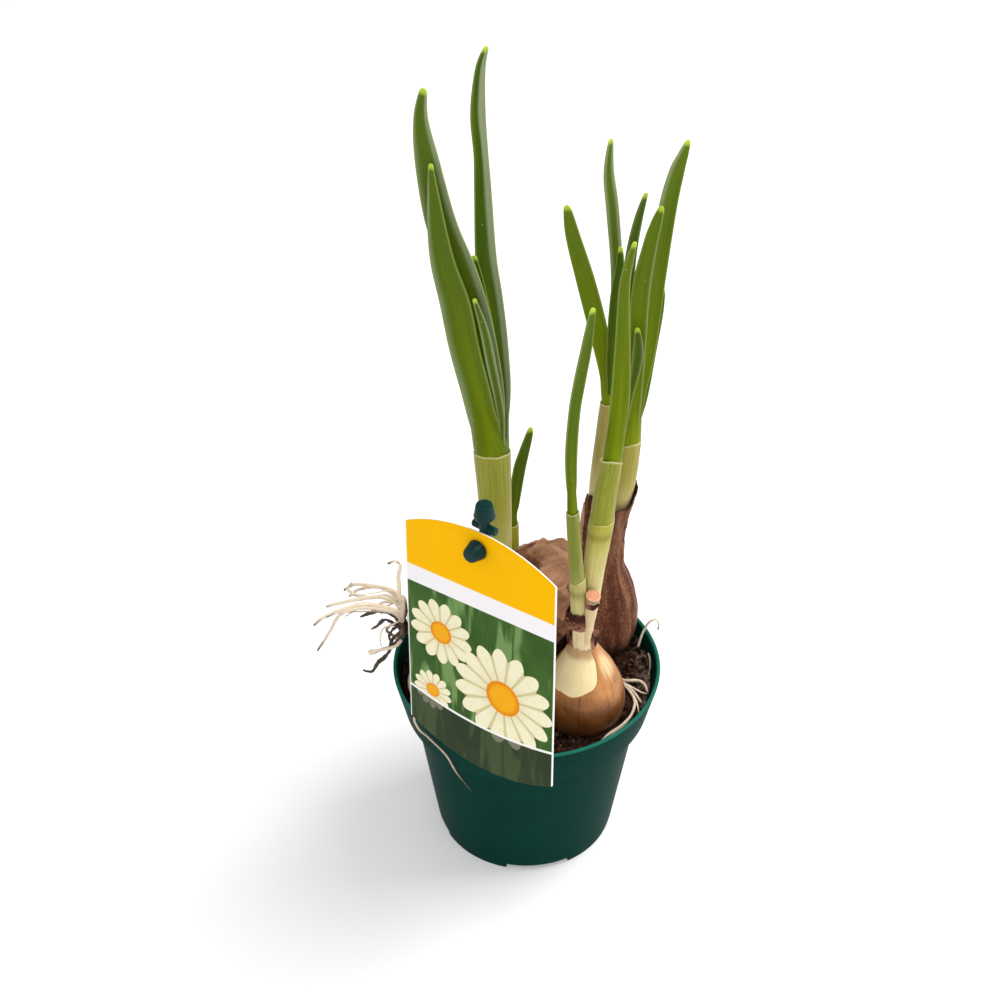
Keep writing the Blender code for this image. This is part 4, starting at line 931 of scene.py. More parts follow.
def leaf_green():
    """A fleshy strap leaf: an olive middle, grey bloom with a painted sheen on some margins, painted
    shade on leaves that stand back, and fine veins.
    """
    finish = Finish("leaf_green", Specular_IOR_Level=0.07)
    grain = finish.mark("grain")
    across, rise, tip = finish.parts(finish.mark("share"))
    yellow, depth, bloom_and_sheen = finish.parts(finish.mark("tone"))
    patches = finish.grain(grain, (0.16, 0.16, 0.03), 3.0)
    streaks = finish.grain(grain, (1.5, 1.5, 0.025), 4.0, 0.65)
    veins = finish.grain(grain, (3.6, 3.6, 0.012), 2.0)
    low = (1 - ramp(rise, 0.02, 0.55)) * yellow
    glow = (1 - ramp(abs(across - 0.1), 0.05, 0.55)) * (1 - ramp(rise, 0.1, 0.75)) * yellow
    grey = mix(veins, (104, 120, 78), (168, 176, 142))
    reach = bloom_and_sheen + (patches - 0.5) * 0.35 + (streaks - 0.5) * 0.2
    flecks = 1 - ramp(finish.cells(finish.stretched(grain, (1.0, 1.0, 0.55)), 0.16), 0.02, 0.045)
    young = 1 - ramp(tip + (patches - 0.5) * 1.2, 0.8, 3.2)
    colour = layered(
        mix(yellow, (78, 99, 24), (112, 130, 2)),
        (ramp(rise, 0.4, 0.9) * 0.55, (86, 108, 32)),
        (low * 0.85, (132, 148, 0)),
        # Painted shade: a leaf is darkened by its depth, most where it stands back behind others.
        (depth, (52, 76, 0)),
        (glow * 0.45, (146, 158, 6)),
        (ramp(patches, 0.35, 0.7) * 0.35, (80, 106, 10)),
        (ramp(streaks, 0.45, 0.7) * 0.35, (58, 82, 2)),
        (ramp(veins, 0.54, 0.72) * 0.2, (146, 162, 52)),
        # Grey bloom on the margins and backs, which on some margins is partly a painted sheen.
        (ramp(reach, 0.2, 0.9) * 0.9, grey),
        (ramp(abs(across), 0.93, 0.99) * 0.4, (146, 164, 80)),
        (flecks * 0.5, (206, 214, 170)),
        (young * 0.9, (186, 212, 70)),
    )
    finish.paint(Base_Color=colour, Roughness=0.42 + ramp(reach, 0.2, 0.9) * 0.15 + streaks * 0.08)
    finish.relief(veins * 0.6 + streaks * 0.4, 0.1)
    finish.glow(0.06, (0.6, 1.0, 0.2), 2.0)
    return finish


def sheath_skin():
    """A thin sheath: cream at the foot, yellow-green above, finely lined, with a pale rim and a band of
    painted shade below an outer sheath's mouth.
    """
    finish = Finish("sheath_skin", Specular_IOR_Level=0.12)
    grain = finish.mark("grain")
    _, rise, rim = finish.parts(finish.mark("share"))
    green, tan, band = finish.parts(finish.mark("tone"))
    patches = finish.grain(grain, (0.12, 0.12, 0.05), 3.0)
    lines = finish.grain(grain, (1.6, 1.6, 0.015), 2.0, 0.5)
    fine = finish.grain(grain, (3.2, 3.2, 0.12), 2.0)
    fresh = mix(green, (190, 180, 58), (106, 126, 34))
    head = mix(tan, fresh, (168, 154, 88))
    shade = mix(green, (132, 124, 30), (84, 106, 14))
    edge = 1 - ramp(rim + (fine - 0.5) * 0.4, 0.1, 0.5)
    colour = layered(
        mix(green, (234, 220, 164), (176, 172, 104)),
        (ramp(rise + (patches - 0.5) * 0.3, 0.1, 0.72), head),
        (ramp(lines, 0.44, 0.66) * (0.14 + 0.2 * ramp(rise, 0.4, 0.9)), shade),
        (ramp(fine, 0.55, 0.75) * 0.3, (212, 208, 132)),
        # Painted shade: a darker band a little below an outer sheath's mouth.
        (band * 0.5, (112, 106, 20)),
        (edge * 0.6, (222, 220, 160)),
    )
    finish.paint(Base_Color=colour, Roughness=0.42 + patches * 0.1)
    finish.relief(lines * 0.5 + fine * 0.4, 0.1)
    finish.glow(0.08, (0.8, 1.0, 0.3), 2.0)
    return finish


def golden_skin():
    """The front bulb: a shiny golden skin with dark veins and a painted highlight, torn back over a
    cream scale, with a painted shadow just under the papery scale's lower edge.
    """
    finish = Finish("golden_skin", Specular_IOR_Level=0.25, Coat_Weight=0.12, Coat_Roughness=0.22)
    grain = finish.mark("grain")
    vein, rise, torn = finish.parts(finish.mark("share"))
    painted_highlight, _, _ = finish.parts(finish.mark("tone"))
    patches = finish.grain(grain, 0.11, 4.0)
    fibres = finish.grain(grain, (1.1, 1.1, 0.09), 4.0, 0.7)
    broken = finish.grain(grain, (0.3, 0.3, 0.07), 3.0)
    high = mix(patches, (166, 102, 46), (214, 154, 92))
    lines = (1 - ramp(abs(vein + (fibres - 0.5) * 0.12), 0.1, 0.32)) * ramp(broken, 0.28, 0.42)
    # Painted shadow: a brownish band on the bare cream just under the papery scale's lower edge.
    hem_shadow = ramp(rise + (patches - 0.5) * 0.06, 0.87, 0.94)
    stained = layered(
        mix(patches, (236, 212, 158), (250, 232, 186)),
        (ramp(fibres, 0.5, 0.85) * 0.3, (206, 174, 112)),
        (hem_shadow * 0.75, (176, 130, 78)),
    )
    bare = ramp(torn + (fibres - 0.5) * 0.5, -0.18, 0.18)
    rim = 1 - ramp(abs(torn + 0.3 + (fibres - 0.5) * 0.5), 0.05, 0.45)
    edged = layered(
        mix(patches, (84, 48, 22), (134, 82, 38)),
        (ramp(rise + (patches - 0.5) * 0.35, 0.4, 0.74), high),
        (ramp(fibres, 0.45, 0.8) * 0.4, (112, 62, 26)),
        # Painted highlight: a pale patch on the skin's right shoulder.
        (ramp(painted_highlight + (fibres - 0.5) * 0.3, 0.15, 0.9) * 0.85, (236, 204, 152)),
        (lines * 0.7, (92, 50, 22)),
        (1 - ramp(rise + (patches - 0.5) * 0.3, 0.1, 0.46), (58, 34, 20)),
        (bare, stained),
        (rim * 0.4, (150, 96, 46)),
    )
    finish.paint(Base_Color=edged, Roughness=0.3 + patches * 0.12 + bare * 0.1)
    finish.relief(fibres * 0.6 - lines * 0.4 - bare * 0.5, 0.16)
    return finish


def papery_scale():
    """The dry cream scale round the front neck, and the burnt dark cup above it."""
    finish = Finish("papery_scale", Specular_IOR_Level=0.15)
    grain = finish.mark("grain")
    _, rise, edge = finish.parts(finish.mark("share"))
    dark, _, _ = finish.parts(finish.mark("tone"))
    patches = finish.grain(grain, 0.45, 4.0)
    fibres = finish.grain(grain, (1.4, 1.4, 0.2), 4.0, 0.7)
    brown = mix(ramp(rise + (patches - 0.5) * 0.3, 0.2, 0.6), (156, 104, 82), (56, 24, 18))
    rusty = mix(ramp(patches, 0.48, 0.68) * 0.5, brown, (104, 56, 40))
    burnt = (1 - ramp(edge + (patches - 0.5) * 0.8, 0.05, 0.5)) * (1 - dark)
    colour = layered(
        mix(patches, (220, 194, 142), (246, 228, 188)),
        (ramp(fibres, 0.45, 0.8) * 0.4, (184, 144, 92)),
        (ramp(dark + (patches - 0.5) * 0.5, 0.3, 0.7), rusty),
        (burnt * 0.7, (110, 68, 40)),
    )
    finish.paint(Base_Color=colour, Roughness=0.55 + patches * 0.15)
    finish.relief(fibres + patches, 0.3)
    return finish


def stub_flesh():
    """The cut-off stalk: a salmon cut end with a paler rim, and dry cream sides."""
    finish = Finish("stub_flesh", Specular_IOR_Level=0.2)
    grain = finish.mark("grain")
    radius, rise, _ = finish.parts(finish.mark("share"))
    spots = finish.grain(grain, 1.4, 4.0, 0.7)
    rings = finish.grain(grain, (3.0, 0.8, 1.0), 3.0, 0.6, 0.8)
    cut = mix(ramp(rings, 0.35, 0.65), (198, 118, 84), (236, 178, 142))
    cut_rim = mix(ramp(radius, 0.8, 0.98) * 0.6, cut, (232, 196, 156))
    top = ramp(rise, 0.965, 0.975)
    colour = layered(
        mix(spots, (210, 176, 126), (244, 224, 184)),
        (ramp(rise + (spots - 0.5) * 0.1, 0.9, 0.94) * 0.8, (96, 52, 34)),
        (top, cut_rim),
    )
    finish.paint(Base_Color=colour, Roughness=0.5 + spots * 0.15)
    finish.relief(spots + rings, 0.25)
    return finish


def brown_skin():
    """The dry fibrous skin of the two brown bulbs: mottled, streaked, dark where it is torn and darker
    towards the bottom, with painted shade in the crumpled end's valleys and pit and its facets painted
    as if lit from different sides.
    """
    finish = Finish("brown_skin", Specular_IOR_Level=0.15)
    grain = finish.mark("grain")
    torn, rise, relief = finish.parts(finish.mark("share"))
    pale, inside, papery = finish.parts(finish.mark("tone"))
    patches = finish.grain(grain, 0.09, 5.0, 0.65)
    streaks = finish.grain(grain, (0.5, 0.5, 0.07), 5.0, 0.7, 0.5)
    net = finish.grain(grain, (1.2, 1.2, 0.8), 5.0, 0.7, 0.6)
    fibres = finish.grain(grain, (1.5, 1.5, 0.2), 4.0, 0.7, 0.5)
    tan = mix(patches, (126, 82, 58), (166, 120, 92))
    bleached = mix(pale, tan, (206, 160, 126))
    light = streaks * 0.35 + net * 0.45 + fibres * 0.2 + relief * 0.12
    planes = mix(papery, (126, 80, 54), (190, 142, 110))
    furrow = (1 - ramp(fibres * 0.5 + net * 0.5 + relief * 0.2, 0.34, 0.46)) * (1 - papery * 0.8)
    lining = mix(fibres, (150, 92, 54), (204, 148, 100))
    colour = layered(
        mix(patches, (66, 30, 16), (112, 62, 36)),
        # Paler where the skin is bleached; on the crumpled end the facets' painted shading also sets how
        # pale.
        (ramp(light, 0.45, 0.58) * (0.32 + pale * 0.8), bleached),
        # The crumpled end's papery colour, with painted shading that differs from facet to facet.
        (ramp(papery, 0.0, 0.45) * 0.72, planes),
        (furrow * 0.55, (52, 28, 18)),
        # Painted shade in the valleys and the pit of the crumpled end.
        ((1 - ramp(relief, -0.5, -0.02)) * papery * 0.6, (66, 36, 24)),
        (1 - ramp(rise + (patches - 0.5) * 0.3, 0.02, 0.24), (56, 34, 22)),
        (inside, lining),
        (torn, (34, 18, 12)),
    )
    finish.paint(Base_Color=colour, Roughness=0.6 + net * 0.2)
    finish.relief(fibres * 0.4 + net * 0.6 + streaks * 0.4, 0.3)
    return finish


def pale_root():
    """A fleshy cream root, pinkish in places, wrinkled, with a tan or dark tip."""
    finish = Finish("pale_root", Specular_IOR_Level=0.2)
    grain = finish.mark("grain")
    _, rise, _ = finish.parts(finish.mark("share"))
    tip, pink, grey = finish.parts(finish.mark("tone"))
    patches = finish.grain(grain, 0.14, 3.0)
    wrinkles = finish.grain(grain, (0.6, 0.6, 1.6), 4.0, 0.6)
    end = ramp(rise + (patches - 0.5) * 0.15, 0.84, 0.98)
    colour = layered(
        mix(patches, (240, 224, 192), (254, 248, 230)),
        (pink * ramp(patches, 0.35, 0.65) * 0.8, (224, 178, 156)),
        (grey, (150, 128, 106)),
        (ramp(wrinkles, 0.58, 0.78) * 0.35, (176, 144, 108)),
        (end * tip, (84, 72, 62)),
    )
    finish.paint(Base_Color=colour, Roughness=0.45 + patches * 0.15)
    finish.relief(wrinkles + patches, 0.16)
    finish.glow(0.1, (1.0, 0.7, 0.4), 1.5)
    return finish


def withered_root():
    """A dry dark root, fibrous and rusty in places."""
    finish = Finish("withered_root", Specular_IOR_Level=0.3)
    grain = finish.mark("grain")
    light, _, _ = finish.parts(finish.mark("tone"))
    patches = finish.grain(grain, 0.3, 4.0)
    fibres = finish.grain(grain, (2.0, 2.0, 0.4), 4.0, 0.7)
    dark = mix(patches, (44, 38, 34), (96, 84, 74))
    rusty = mix(light * ramp(patches, 0.3, 0.7), dark, (196, 160, 128))
    finish.paint(Base_Color=mix(ramp(fibres, 0.5, 0.75) * 0.4, rusty, (140, 122, 104)))
    finish.paint(Roughness=0.75 + patches * 0.15)
    finish.relief(fibres + patches, 0.35)
    return finish


def compost_brown():
    """Moist dark compost, with redder and greyer crumbs, dried pale by the right-hand rim."""
    finish = Finish("compost_brown", Specular_IOR_Level=0.02)
    grain = finish.mark("grain")
    east, _, _ = finish.parts(grain)
    warmth, light, _ = finish.parts(finish.mark("tone"))
    clods = finish.grain(grain, 0.25, 5.0, 0.7)
    grit = finish.grain(grain, 1.6, 4.0, 0.7)
    dry = ramp(east, 48.0, 54.0) * ramp(clods, 0.42, 0.6) * 0.6
    colour = layered(
        mix(ramp(clods, 0.38, 0.66), (12, 7, 6), (66, 42, 32)),
        (warmth * 0.8, (100, 56, 40)),
        (light * 0.8, (150, 128, 108)),
        (ramp(grit, 0.55, 0.7) * 0.3, (92, 66, 52)),
        (dry, (150, 130, 116)),
    )
    finish.paint(Base_Color=colour, Roughness=0.85 + grit * 0.12)
    finish.relief(clods + grit * 0.6, 0.9)
    return finish


def round_corners(profile, cut):
    """Round each corner of the profile with a short curve."""
    rounded = [profile[0]]
    for before, here, after in zip(profile, profile[1:], profile[2:]):
        here = Vector(here)
        back = Vector(before) - here
        ahead = Vector(after) - here
        reach = min(cut, back.length * 0.4, ahead.length * 0.4)
        first = here + back.normalized() * reach
        last = here + ahead.normalized() * reach
        for i in range(4):
            u = i / 3
            rounded.append(first * (1 - u) ** 2 + here * (2 * u * (1 - u)) + last * u ** 2)
    rounded.append(profile[-1])
    return [(point[0], point[1]) for point in rounded]


def foot_notched(turn):
    """How far inside a notch of the foot ring a turn lies: above 0 where the notch is open."""
    return NOTCH_HALF_TURN - abs(turn_from(turn, FOOT_NOTCH_TURN, TURN / FOOT_NOTCHES))


def build_pot():
    """The pot: a turned wall with notches through its foot ring and drains in its floor."""
    inner_step = STEP_HEIGHT + POT_WALL
    wall_slope = (WALL_TOP_RADIUS - BASE_RADIUS) / STEP_HEIGHT
    floor_radius = BASE_RADIUS + wall_slope * FLOOR_TOP
    foot_band = 2 * FOOT_NOTCH_HEIGHT
    profile = round_corners([
        (0.5, 0), (PAD_RADIUS, 0), (PAD_RADIUS + 1, FLOOR_UNDER), (FOOT_INNER_RADIUS - 1, FLOOR_UNDER),
        (FOOT_INNER_RADIUS, 0), (BASE_RADIUS - 0.4, 0), (BASE_RADIUS, 1.0),
        (BASE_RADIUS + wall_slope * foot_band, foot_band),
        (WALL_TOP_RADIUS, STEP_HEIGHT - 0.6), (WALL_TOP_RADIUS + 0.6, STEP_HEIGHT - 0.1),
        (STEP_RADIUS - 0.1, STEP_HEIGHT), (STEP_RADIUS, STEP_HEIGHT + 0.6),
        (RIM_RADIUS, POT_HEIGHT - 0.5), (RIM_RADIUS - 0.6, POT_HEIGHT),
        (RIM_RADIUS - RIM_WALL + 0.5, POT_HEIGHT), (RIM_RADIUS - RIM_WALL, POT_HEIGHT - 0.6),
        (STEP_RADIUS - POT_WALL, inner_step + 0.4), (WALL_TOP_RADIUS - POT_WALL, inner_step),
        (floor_radius - POT_WALL, FLOOR_TOP + 0.8), (floor_radius - POT_WALL - 0.8, FLOOR_TOP),
        (0.5, FLOOR_TOP),
    ], POT_CORNER)
    turns = turns_round(POT_COLUMNS)
    for i in range(FOOT_NOTCHES):
        middle = FOOT_NOTCH_TURN + TURN * i / FOOT_NOTCHES
        for side in (-1, 1):
            for nudge in (-NOTCH_EDGE, NOTCH_EDGE):
                turns.append((middle + side * NOTCH_HALF_TURN + nudge) % TURN)
    turns.sort()
    rows = []
    share = []
    for radius, height in profile:
        in_ring = radius > FOOT_INNER_RADIUS - 1.2
        raised = max(height, FOOT_NOTCH_HEIGHT)
        heights = [raised if in_ring and foot_notched(turn) > 0 else height for turn in turns]
        rows.append([(radius * math.cos(a), radius * math.sin(a), z) for a, z in zip(turns, heights)])
        share.append([(turn / TURN, height, 0.0) for turn in turns])
    form = Form()
    form.wrap(rows, rows, share)
    pot = form.piece("pot_shell", pot_green(), sharp=50.0)
    cut_drains(pot)
    dress(pot, "pot_plastic", "pot")


def cut_drains(pot):
    """Cut the round holes through the floor."""
    cutters = bpy.data.collections.new("pot_cutters")
    bpy.context.scene.collection.children.link(cutters)
    for i in range(DRAINS):
        turn = math.radians(DRAIN_TURN + 360 * i / DRAINS)
        drill = bmesh.new()
        bmesh.ops.create_cone(drill, cap_ends=True, segments=DRAIN_SIDES, radius1=DRAIN_RADIUS * MM,
                              radius2=DRAIN_RADIUS * MM, depth=4 * FLOOR_TOP * MM)
        bmesh.ops.translate(drill, vec=DRAIN_CIRCLE * MM * heading(turn), verts=drill.verts)
        mesh = bpy.data.meshes.new(f"drain_{i}")
        drill.to_mesh(mesh)
        drill.free()
        cutters.objects.link(bpy.data.objects.new(f"drain_{i}", mesh))
    boolean = pot.modifiers.new("cut", "BOOLEAN")
    boolean.operand_type = "COLLECTION"
    boolean.collection = cutters
    boolean.operation = "DIFFERENCE"
    boolean.solver = "EXACT"
    graph = bpy.context.evaluated_depsgraph_get()
    cut = bpy.data.meshes.new_from_object(pot.evaluated_get(graph))
    pot.modifiers.clear()
    pot.data = cut
    for cutter in list(cutters.objects):
        bpy.data.objects.remove(cutter, do_unlink=True)
    bpy.data.collections.remove(cutters)


def soil_level(x, y):
    """The height of the compost, without its clods: a mound, banked up against two sides."""
    reach = math.hypot(x, y) / SOIL_REACH
    ripple = SOIL_RIPPLE * math.sin(SOIL_WAVE_X * x + 0.4) * math.cos(SOIL_WAVE_Y * y - 0.8)
    turn = math.atan2(y, x)
    right = hump(turn, 0.5, 0.6)
    left = hump(abs(turn), math.pi, 0.45)
    bank = SOIL_BANK * max(right, left) * min(reach, 1.0) ** 6
    return SOIL_EDGE_HEIGHT + SOIL_MOUND * (1 - reach ** 2) + ripple + bank


def soil_height(x, y):
    """The height of the compost with its clods."""
    point = (x, y, 3.0)
    return soil_level(x, y) + 0.55 * rough(point, 5.0) + 0.35 * rough(point, 1.7)


def build_compost(draw):
    """The compost's body, with crumbs, chips and fibres on it."""
    finish = compost_brown()
    edge = STEP_RADIUS + (RIM_RADIUS - STEP_RADIUS) * SOIL_RIM_SHARE - RIM_WALL - 0.2
    foot_radius = BASE_RADIUS - 1.0
    inner_step = STEP_HEIGHT + POT_WALL
    levels = [
        (foot_radius - 1.6, FLOOR_TOP + 0.3), (foot_radius, FLOOR_TOP + 2.0),
        (WALL_TOP_RADIUS - 1.8, inner_step + 0.2), (STEP_RADIUS - 1.8, inner_step + 0.8),
        (edge - 0.2, SOIL_SHOULDER_HEIGHT),
    ]
    turns = turns_round(SOIL_COLUMNS)
    rows = [circle(turns, radius, height) for radius, height in levels]
    for i in range(SOIL_ROWS):
        ring = circle(turns, edge * (1 - i / SOIL_ROWS), 0.0)
        rows.append([(x, y, soil_height(x, y)) for x, y, _ in ring])
    form = Form()
    form.wrap(rows, rows, rows)
    dress(form.piece("compost_bed", finish, sharp=180.0), "compost", "soil")

    crumbs = Form()
    for _ in range(CRUMBS):
        radius = (edge - 1.6) * math.sqrt(draw.random())
        turn = draw.uniform(0, TURN)
        x = radius * math.cos(turn)
        y = radius * math.sin(turn)
        size = draw.uniform(*CRUMB_SIZES) * (CHIP_GROWTH if draw.random() < CHIP_SHARE else 1.0)
        middle = Vector((x, y, soil_height(x, y) + size * 0.15))
        warm = draw.random() ** 2
        dried = clamp((x - DRY_SOIL_FROM) / DRY_SOIL_WIDTH)
        light = 0.55 * draw.random() ** (7 - 5.5 * dried)
        add_lump(crumbs, middle, size, (warm, light, 0.0), draw)
    for _ in range(FIBRES):
        radius = (edge - 3.5) * math.sqrt(draw.random())
        turn = draw.uniform(0, TURN)
        middle = Vector((radius * math.cos(turn), radius * math.sin(turn), 0))
        onward = draw.uniform(0, TURN)
        length = draw.uniform(*FIBRE_LENGTHS)
        course = []
        for step in range(FIBRE_STEPS + 1):
            bend = onward + 0.5 * math.sin(step * 1.3 + turn)
            middle = middle + heading(bend) * (length / FIBRE_STEPS)
            lift = draw.uniform(0.1, 0.6)
            course.append(Vector((middle.x, middle.y, soil_height(middle.x, middle.y) + lift)))
        if max(math.hypot(p.x, p.y) for p in course) < edge - 0.8:
            tone = (draw.random(), draw.uniform(0.1, 0.7), 0.0)
            add_strand(crumbs, course, draw.uniform(*FIBRE_RADII), tone, sides=5, rows_a_point=2)
    item = crumbs.piece("compost_crumbs", finish, sharp=40.0)
    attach(item, "root")


def add_lump(form, middle, size, tone, draw):
    """A rough little clod or chip."""
    stretch = Vector((draw.uniform(0.7, 1.5), draw.uniform(0.7, 1.2), 0.7 * draw.uniform(0.6, 1.1)))
    spin = draw.uniform(0, TURN)
    seed = draw.uniform(0, 90)
    rows = []
    for i in range(1, LUMP_ROWS):
        tilt = math.pi * i / LUMP_ROWS
        row = []
        for j in range(LUMP_COLUMNS):
            way = on_ball(tilt, TURN * (j + 0.5 * (i % 2)) / LUMP_COLUMNS)
            reach = size * (1 + 0.45 * noise.noise(way * 1.3 + EAST * seed))
            point = Vector((way.x * stretch.x, way.y * stretch.y, way.z * stretch.z)) * reach
            x = point.x * math.cos(spin) - point.y * math.sin(spin)
            y = point.x * math.sin(spin) + point.y * math.cos(spin)
            row.append(middle + Vector((x, y, point.z)))
        rows.append(row)
    form.wrap(rows, rows, rows, tone)


def section_sides(points):
    """For each point of a course, two crosswise directions that don't spin along it."""
    sides = []
    side = None
    for i, _ in enumerate(points):
        ahead = (points[min(i + 1, len(points) - 1)] - points[max(i - 1, 0)]).normalized()
        if side is None:
            side = ahead.orthogonal().normalized()
        side = (side - ahead * side.dot(ahead)).normalized()
        sides.append((side, ahead.cross(side)))
    return sides


def add_strand(form, course, radius, tone, sides=ROOT_SIDES, rows_a_point=ROOT_ROWS_A_POINT,
               uneven=0.12, taper=0.45, swell=None):
    """A round strand along its course, thinner at the tip, with an uneven skin."""
    count = (len(course) - 1) * rows_a_point
    points = [along([Vector(p) for p in course], i / count) for i in range(count + 1)]
    turns = turns_round(sides)
    rows = []
    grain = []
    share = []
    run = 0.0
    for i, (point, (side, other)) in enumerate(zip(points, section_sides(points))):
        t = i / count
        run += (point - points[i - 1]).length if i else 0.0
        reach = radius * (1 - taper * t ** 3)
        if swell:
            reach *= swell(t)
        left = (1 - t) * count / 2.2
        reach *= math.sqrt(min(1.0, left + 0.12))
        row = []
        for turn in turns:
            way = side * math.cos(turn) + other * math.sin(turn)
            bump = 1 + uneven * rough(point + way * radius, 2.2)
            row.append(point + way * (reach * bump))
        rows.append(row)
        grain.append(circle(turns, radius, run + course[0][1]))
        share.append([(turn / TURN, t, 0.0) for turn in turns])
    form.wrap(rows, grain, share, tone)


def leaf_course(name):
    """A leaf's middle line and widths, from its foot in the sheath to its tip."""
    sheath, foot, course, _, foot_width, _ = LEAVES[name]
    mouth = SHEATHS[sheath][-1][0][2]
    offset = Vector((foot[0], foot[1], 0))
    low = station_at(SHEATHS[sheath], mouth - SHEATH_HOLE + 0.35)[0] + offset
    high = Vector(SHEATHS[sheath][-1][0]) + offset
    points = [low, high] + [Vector(stop[:3]) for stop in course]
    blunt = course[-2][3] * TIP_WIDTH
    widths = [foot_width, foot_width] + [stop[3] for stop in course[:-1]] + [blunt]
    return points, widths


def bloom_and_sheen_at(look, place, rise, back):
    """How much grey bloom and painted sheen a leaf carries at a place across it and a share of its
    length.
    """
    _, _, left, right, reach = look
    low, high = left if place < 0 else right
    strength = low + (high - low) * rise
    wide = reach[0] + (reach[1] - reach[0]) * rise
    margin = clamp((abs(place) - (1 - wide)) / (0.9 * wide))
    return max(strength * margin, 0.5 * back)


def against_wall(name, middle, places, backs, thickness, lean):
    """A leaf's section where it still lines the inside of its sheath's wall."""
    stations = SHEATHS[LEAVES[name][0]]
    stop = station_at(stations, min(middle.z, stations[-1][0][2]))
    toward = MOUTH_SIDE[name]
    row = []
    for place, back in zip(places, backs):
        turn = toward * (math.pi / 2 - place * MOUTH_TURN)
        outward = back if toward > 0 else 1 - back
        inset = SHEATH_WALL + 0.1 + thickness * (1 - outward)
        row.append(Vector(oval_point(stop, turn, -inset, middle.z)) + lean)
    return row


def build_leaf(name, finish, seed):
    """A fleshy blade: a shallow channel in front, rounded margins, a keel and a blunt tip."""
    points, widths = leaf_course(name)
    sheath, _, _, channel, _, thickness = LEAVES[name]
    mouth = SHEATHS[sheath][-1][0][2]
    look = LEAF_LOOK[name]
    twist_end = math.radians(LEAF_TWIST.get(name, 0))
    stops = [1 - (1 - i / LEAF_ROWS) ** LEAF_EASE for i in range(LEAF_ROWS + 1)]
    middles = [along(points, t) for t in stops]
    runs = [0.0]
    for before, here in zip(middles, middles[1:]):
        runs.append(runs[-1] + (here - before).length)
    length = runs[-1]
    at_mouth = middles[0]
    rows = []
    grain = []
    share = []
    tone = []
    for t, middle, run in zip(stops, middles, runs):
        ahead = along(points, min(t + 0.01, 1)) - along(points, max(t - 0.01, 0))
        ahead = ahead.normalized() if t > 0 else UP
        twist = twist_end * t ** TWIST_EASE
        width = along(widths, t) / math.cos(twist)
        left = length - run
        round_tip = width * TIP_ROUNDED
        if left < round_tip:
            width *= math.sqrt(max(1 - (1 - left / round_tip) ** 2, 0.003))
        body = thickness * (1 + LEAF_SWELL * math.sin(math.pi * t ** 0.7) - LEAF_TAPER * t)
        body = max(min(body, width * 0.8), 0.1)
        row, places, backs = blade_section(middle, ahead, width, body, channel, twist)
        wave = LEAF_WAVE * rough((run * 0.9, seed * 7.0, 0), 22.0, 1)
        row = [point + NORTH * wave for point in row]
        if middle.z <= mouth:
            at_mouth = middle
        if name in MOUTH_SIDE:
            start = mouth + 1.0 + (SHEATH_RIM[sheath][2] if MOUTH_SIDE[name] < 0 else 0.0)
            free = clamp((middle.z - start) / MOUTH_REACH[sheath])
            free = free * free * (3 - 2 * free)
            if free < 1:
                lean = Vector((middle.x - at_mouth.x, middle.y - at_mouth.y, 0))
                lined = against_wall(name, middle, places, backs, min(body, LINED_THICKNESS), lean)
                row = [wall_point.lerp(point, free) for wall_point, point in zip(lined, row)]
        rows.append(row)
        grain.append([(place * width / 2 + seed * 31.0, back * 3.0, run + seed * 17.0)
                      for place, back in zip(places, backs)])
        share.append([(place, run / length, left) for place in places])
        tone.append([(look[0], look[1], bloom_and_sheen_at(look, place, run / length, back))
                     for place, back in zip(places, backs)])
    form = Form()
    form.wrap(rows, grain, share, tone)
    dress(form.piece(name.replace("leaf", "blade"), finish, sharp=180.0), "leaf", name)


def blade_section(middle, ahead, width, thickness, channel, twist):
    """Points round a channelled strap, with each one's place across it and 1 on its back."""
    out = Vector((math.sin(twist), -math.cos(twist), 0))
    across = ahead.cross(out).normalized()
    out = across.cross(ahead).normalized()
    margin = min(LEAF_MARGIN, thickness / 2)
    half_turn = min(width / 2 / channel, WIDEST_CHANNEL)

    def spot(place):
        turn = half_turn * place
        point = middle + across * (channel * math.sin(turn))
        point = point + out * (channel * (1 - math.cos(turn)))
        normal = out * math.cos(turn) - across * math.sin(turn)
        half = margin + (thickness / 2 - margin) * (1 - place ** 2)
        return point, normal, half

    def round_margin(place):
        """From the front to the back at place 1, and from the back to the front at -1."""
        point, normal, half = spot(place)
        sideways = normal.cross(ahead) * -place
        if sideways.dot(across) * place < 0:
            sideways = -sideways
        arc = []
        for k in range(1, MARGIN_POINTS + 1):
            turn = math.pi * k / (MARGIN_POINTS + 1)
            arc.append(point + sideways * (half * math.sin(turn))
                       + normal * (half * (math.cos(turn) * place)))
        return arc

    places = [2 * i / (LEAF_COLUMNS - 1) - 1 for i in range(LEAF_COLUMNS)]
    front = []
    back = []
    for place in places:
        point, normal, half = spot(place)
        front.append(point + normal * half)
        point, normal, half = spot(-place)
        keel = 1 + LEAF_KEEL * (1 - abs(place)) ** 2
        back.append(point - normal * (half * keel))
    points = front + round_margin(1) + back + round_margin(-1)
    ends = [1.0] * MARGIN_POINTS
    backs = [0.0] * LEAF_COLUMNS + [0.5] * MARGIN_POINTS + [1.0] * LEAF_COLUMNS + [0.5] * MARGIN_POINTS
    places = places + ends + [-place for place in places + ends]
    return points, places, backs


def build_sheath(name, finish, seed):
    """A sheath with a thin waved rim, and a shorter outer one where the shoot has it."""
    stations = SHEATHS[name]
    mouth = stations[-1][0][2]
    form = Form()
    add_sheath(form, name, mouth, SHEATH_WALL, 0.0, SHEATH_RIM[name], seed)
    if name in OUTER_SHEATHS:
        ring_height, slant = OUTER_SHEATHS[name]
        add_sheath(form, name, ring_height, OUTER_SHEATH_WALL, 0.3, (slant, 0.0, 0.0), seed + 3)
    dress(form.piece("sleeve_" + name, finish, sharp=70.0), "sheath", "sheath_" + name)


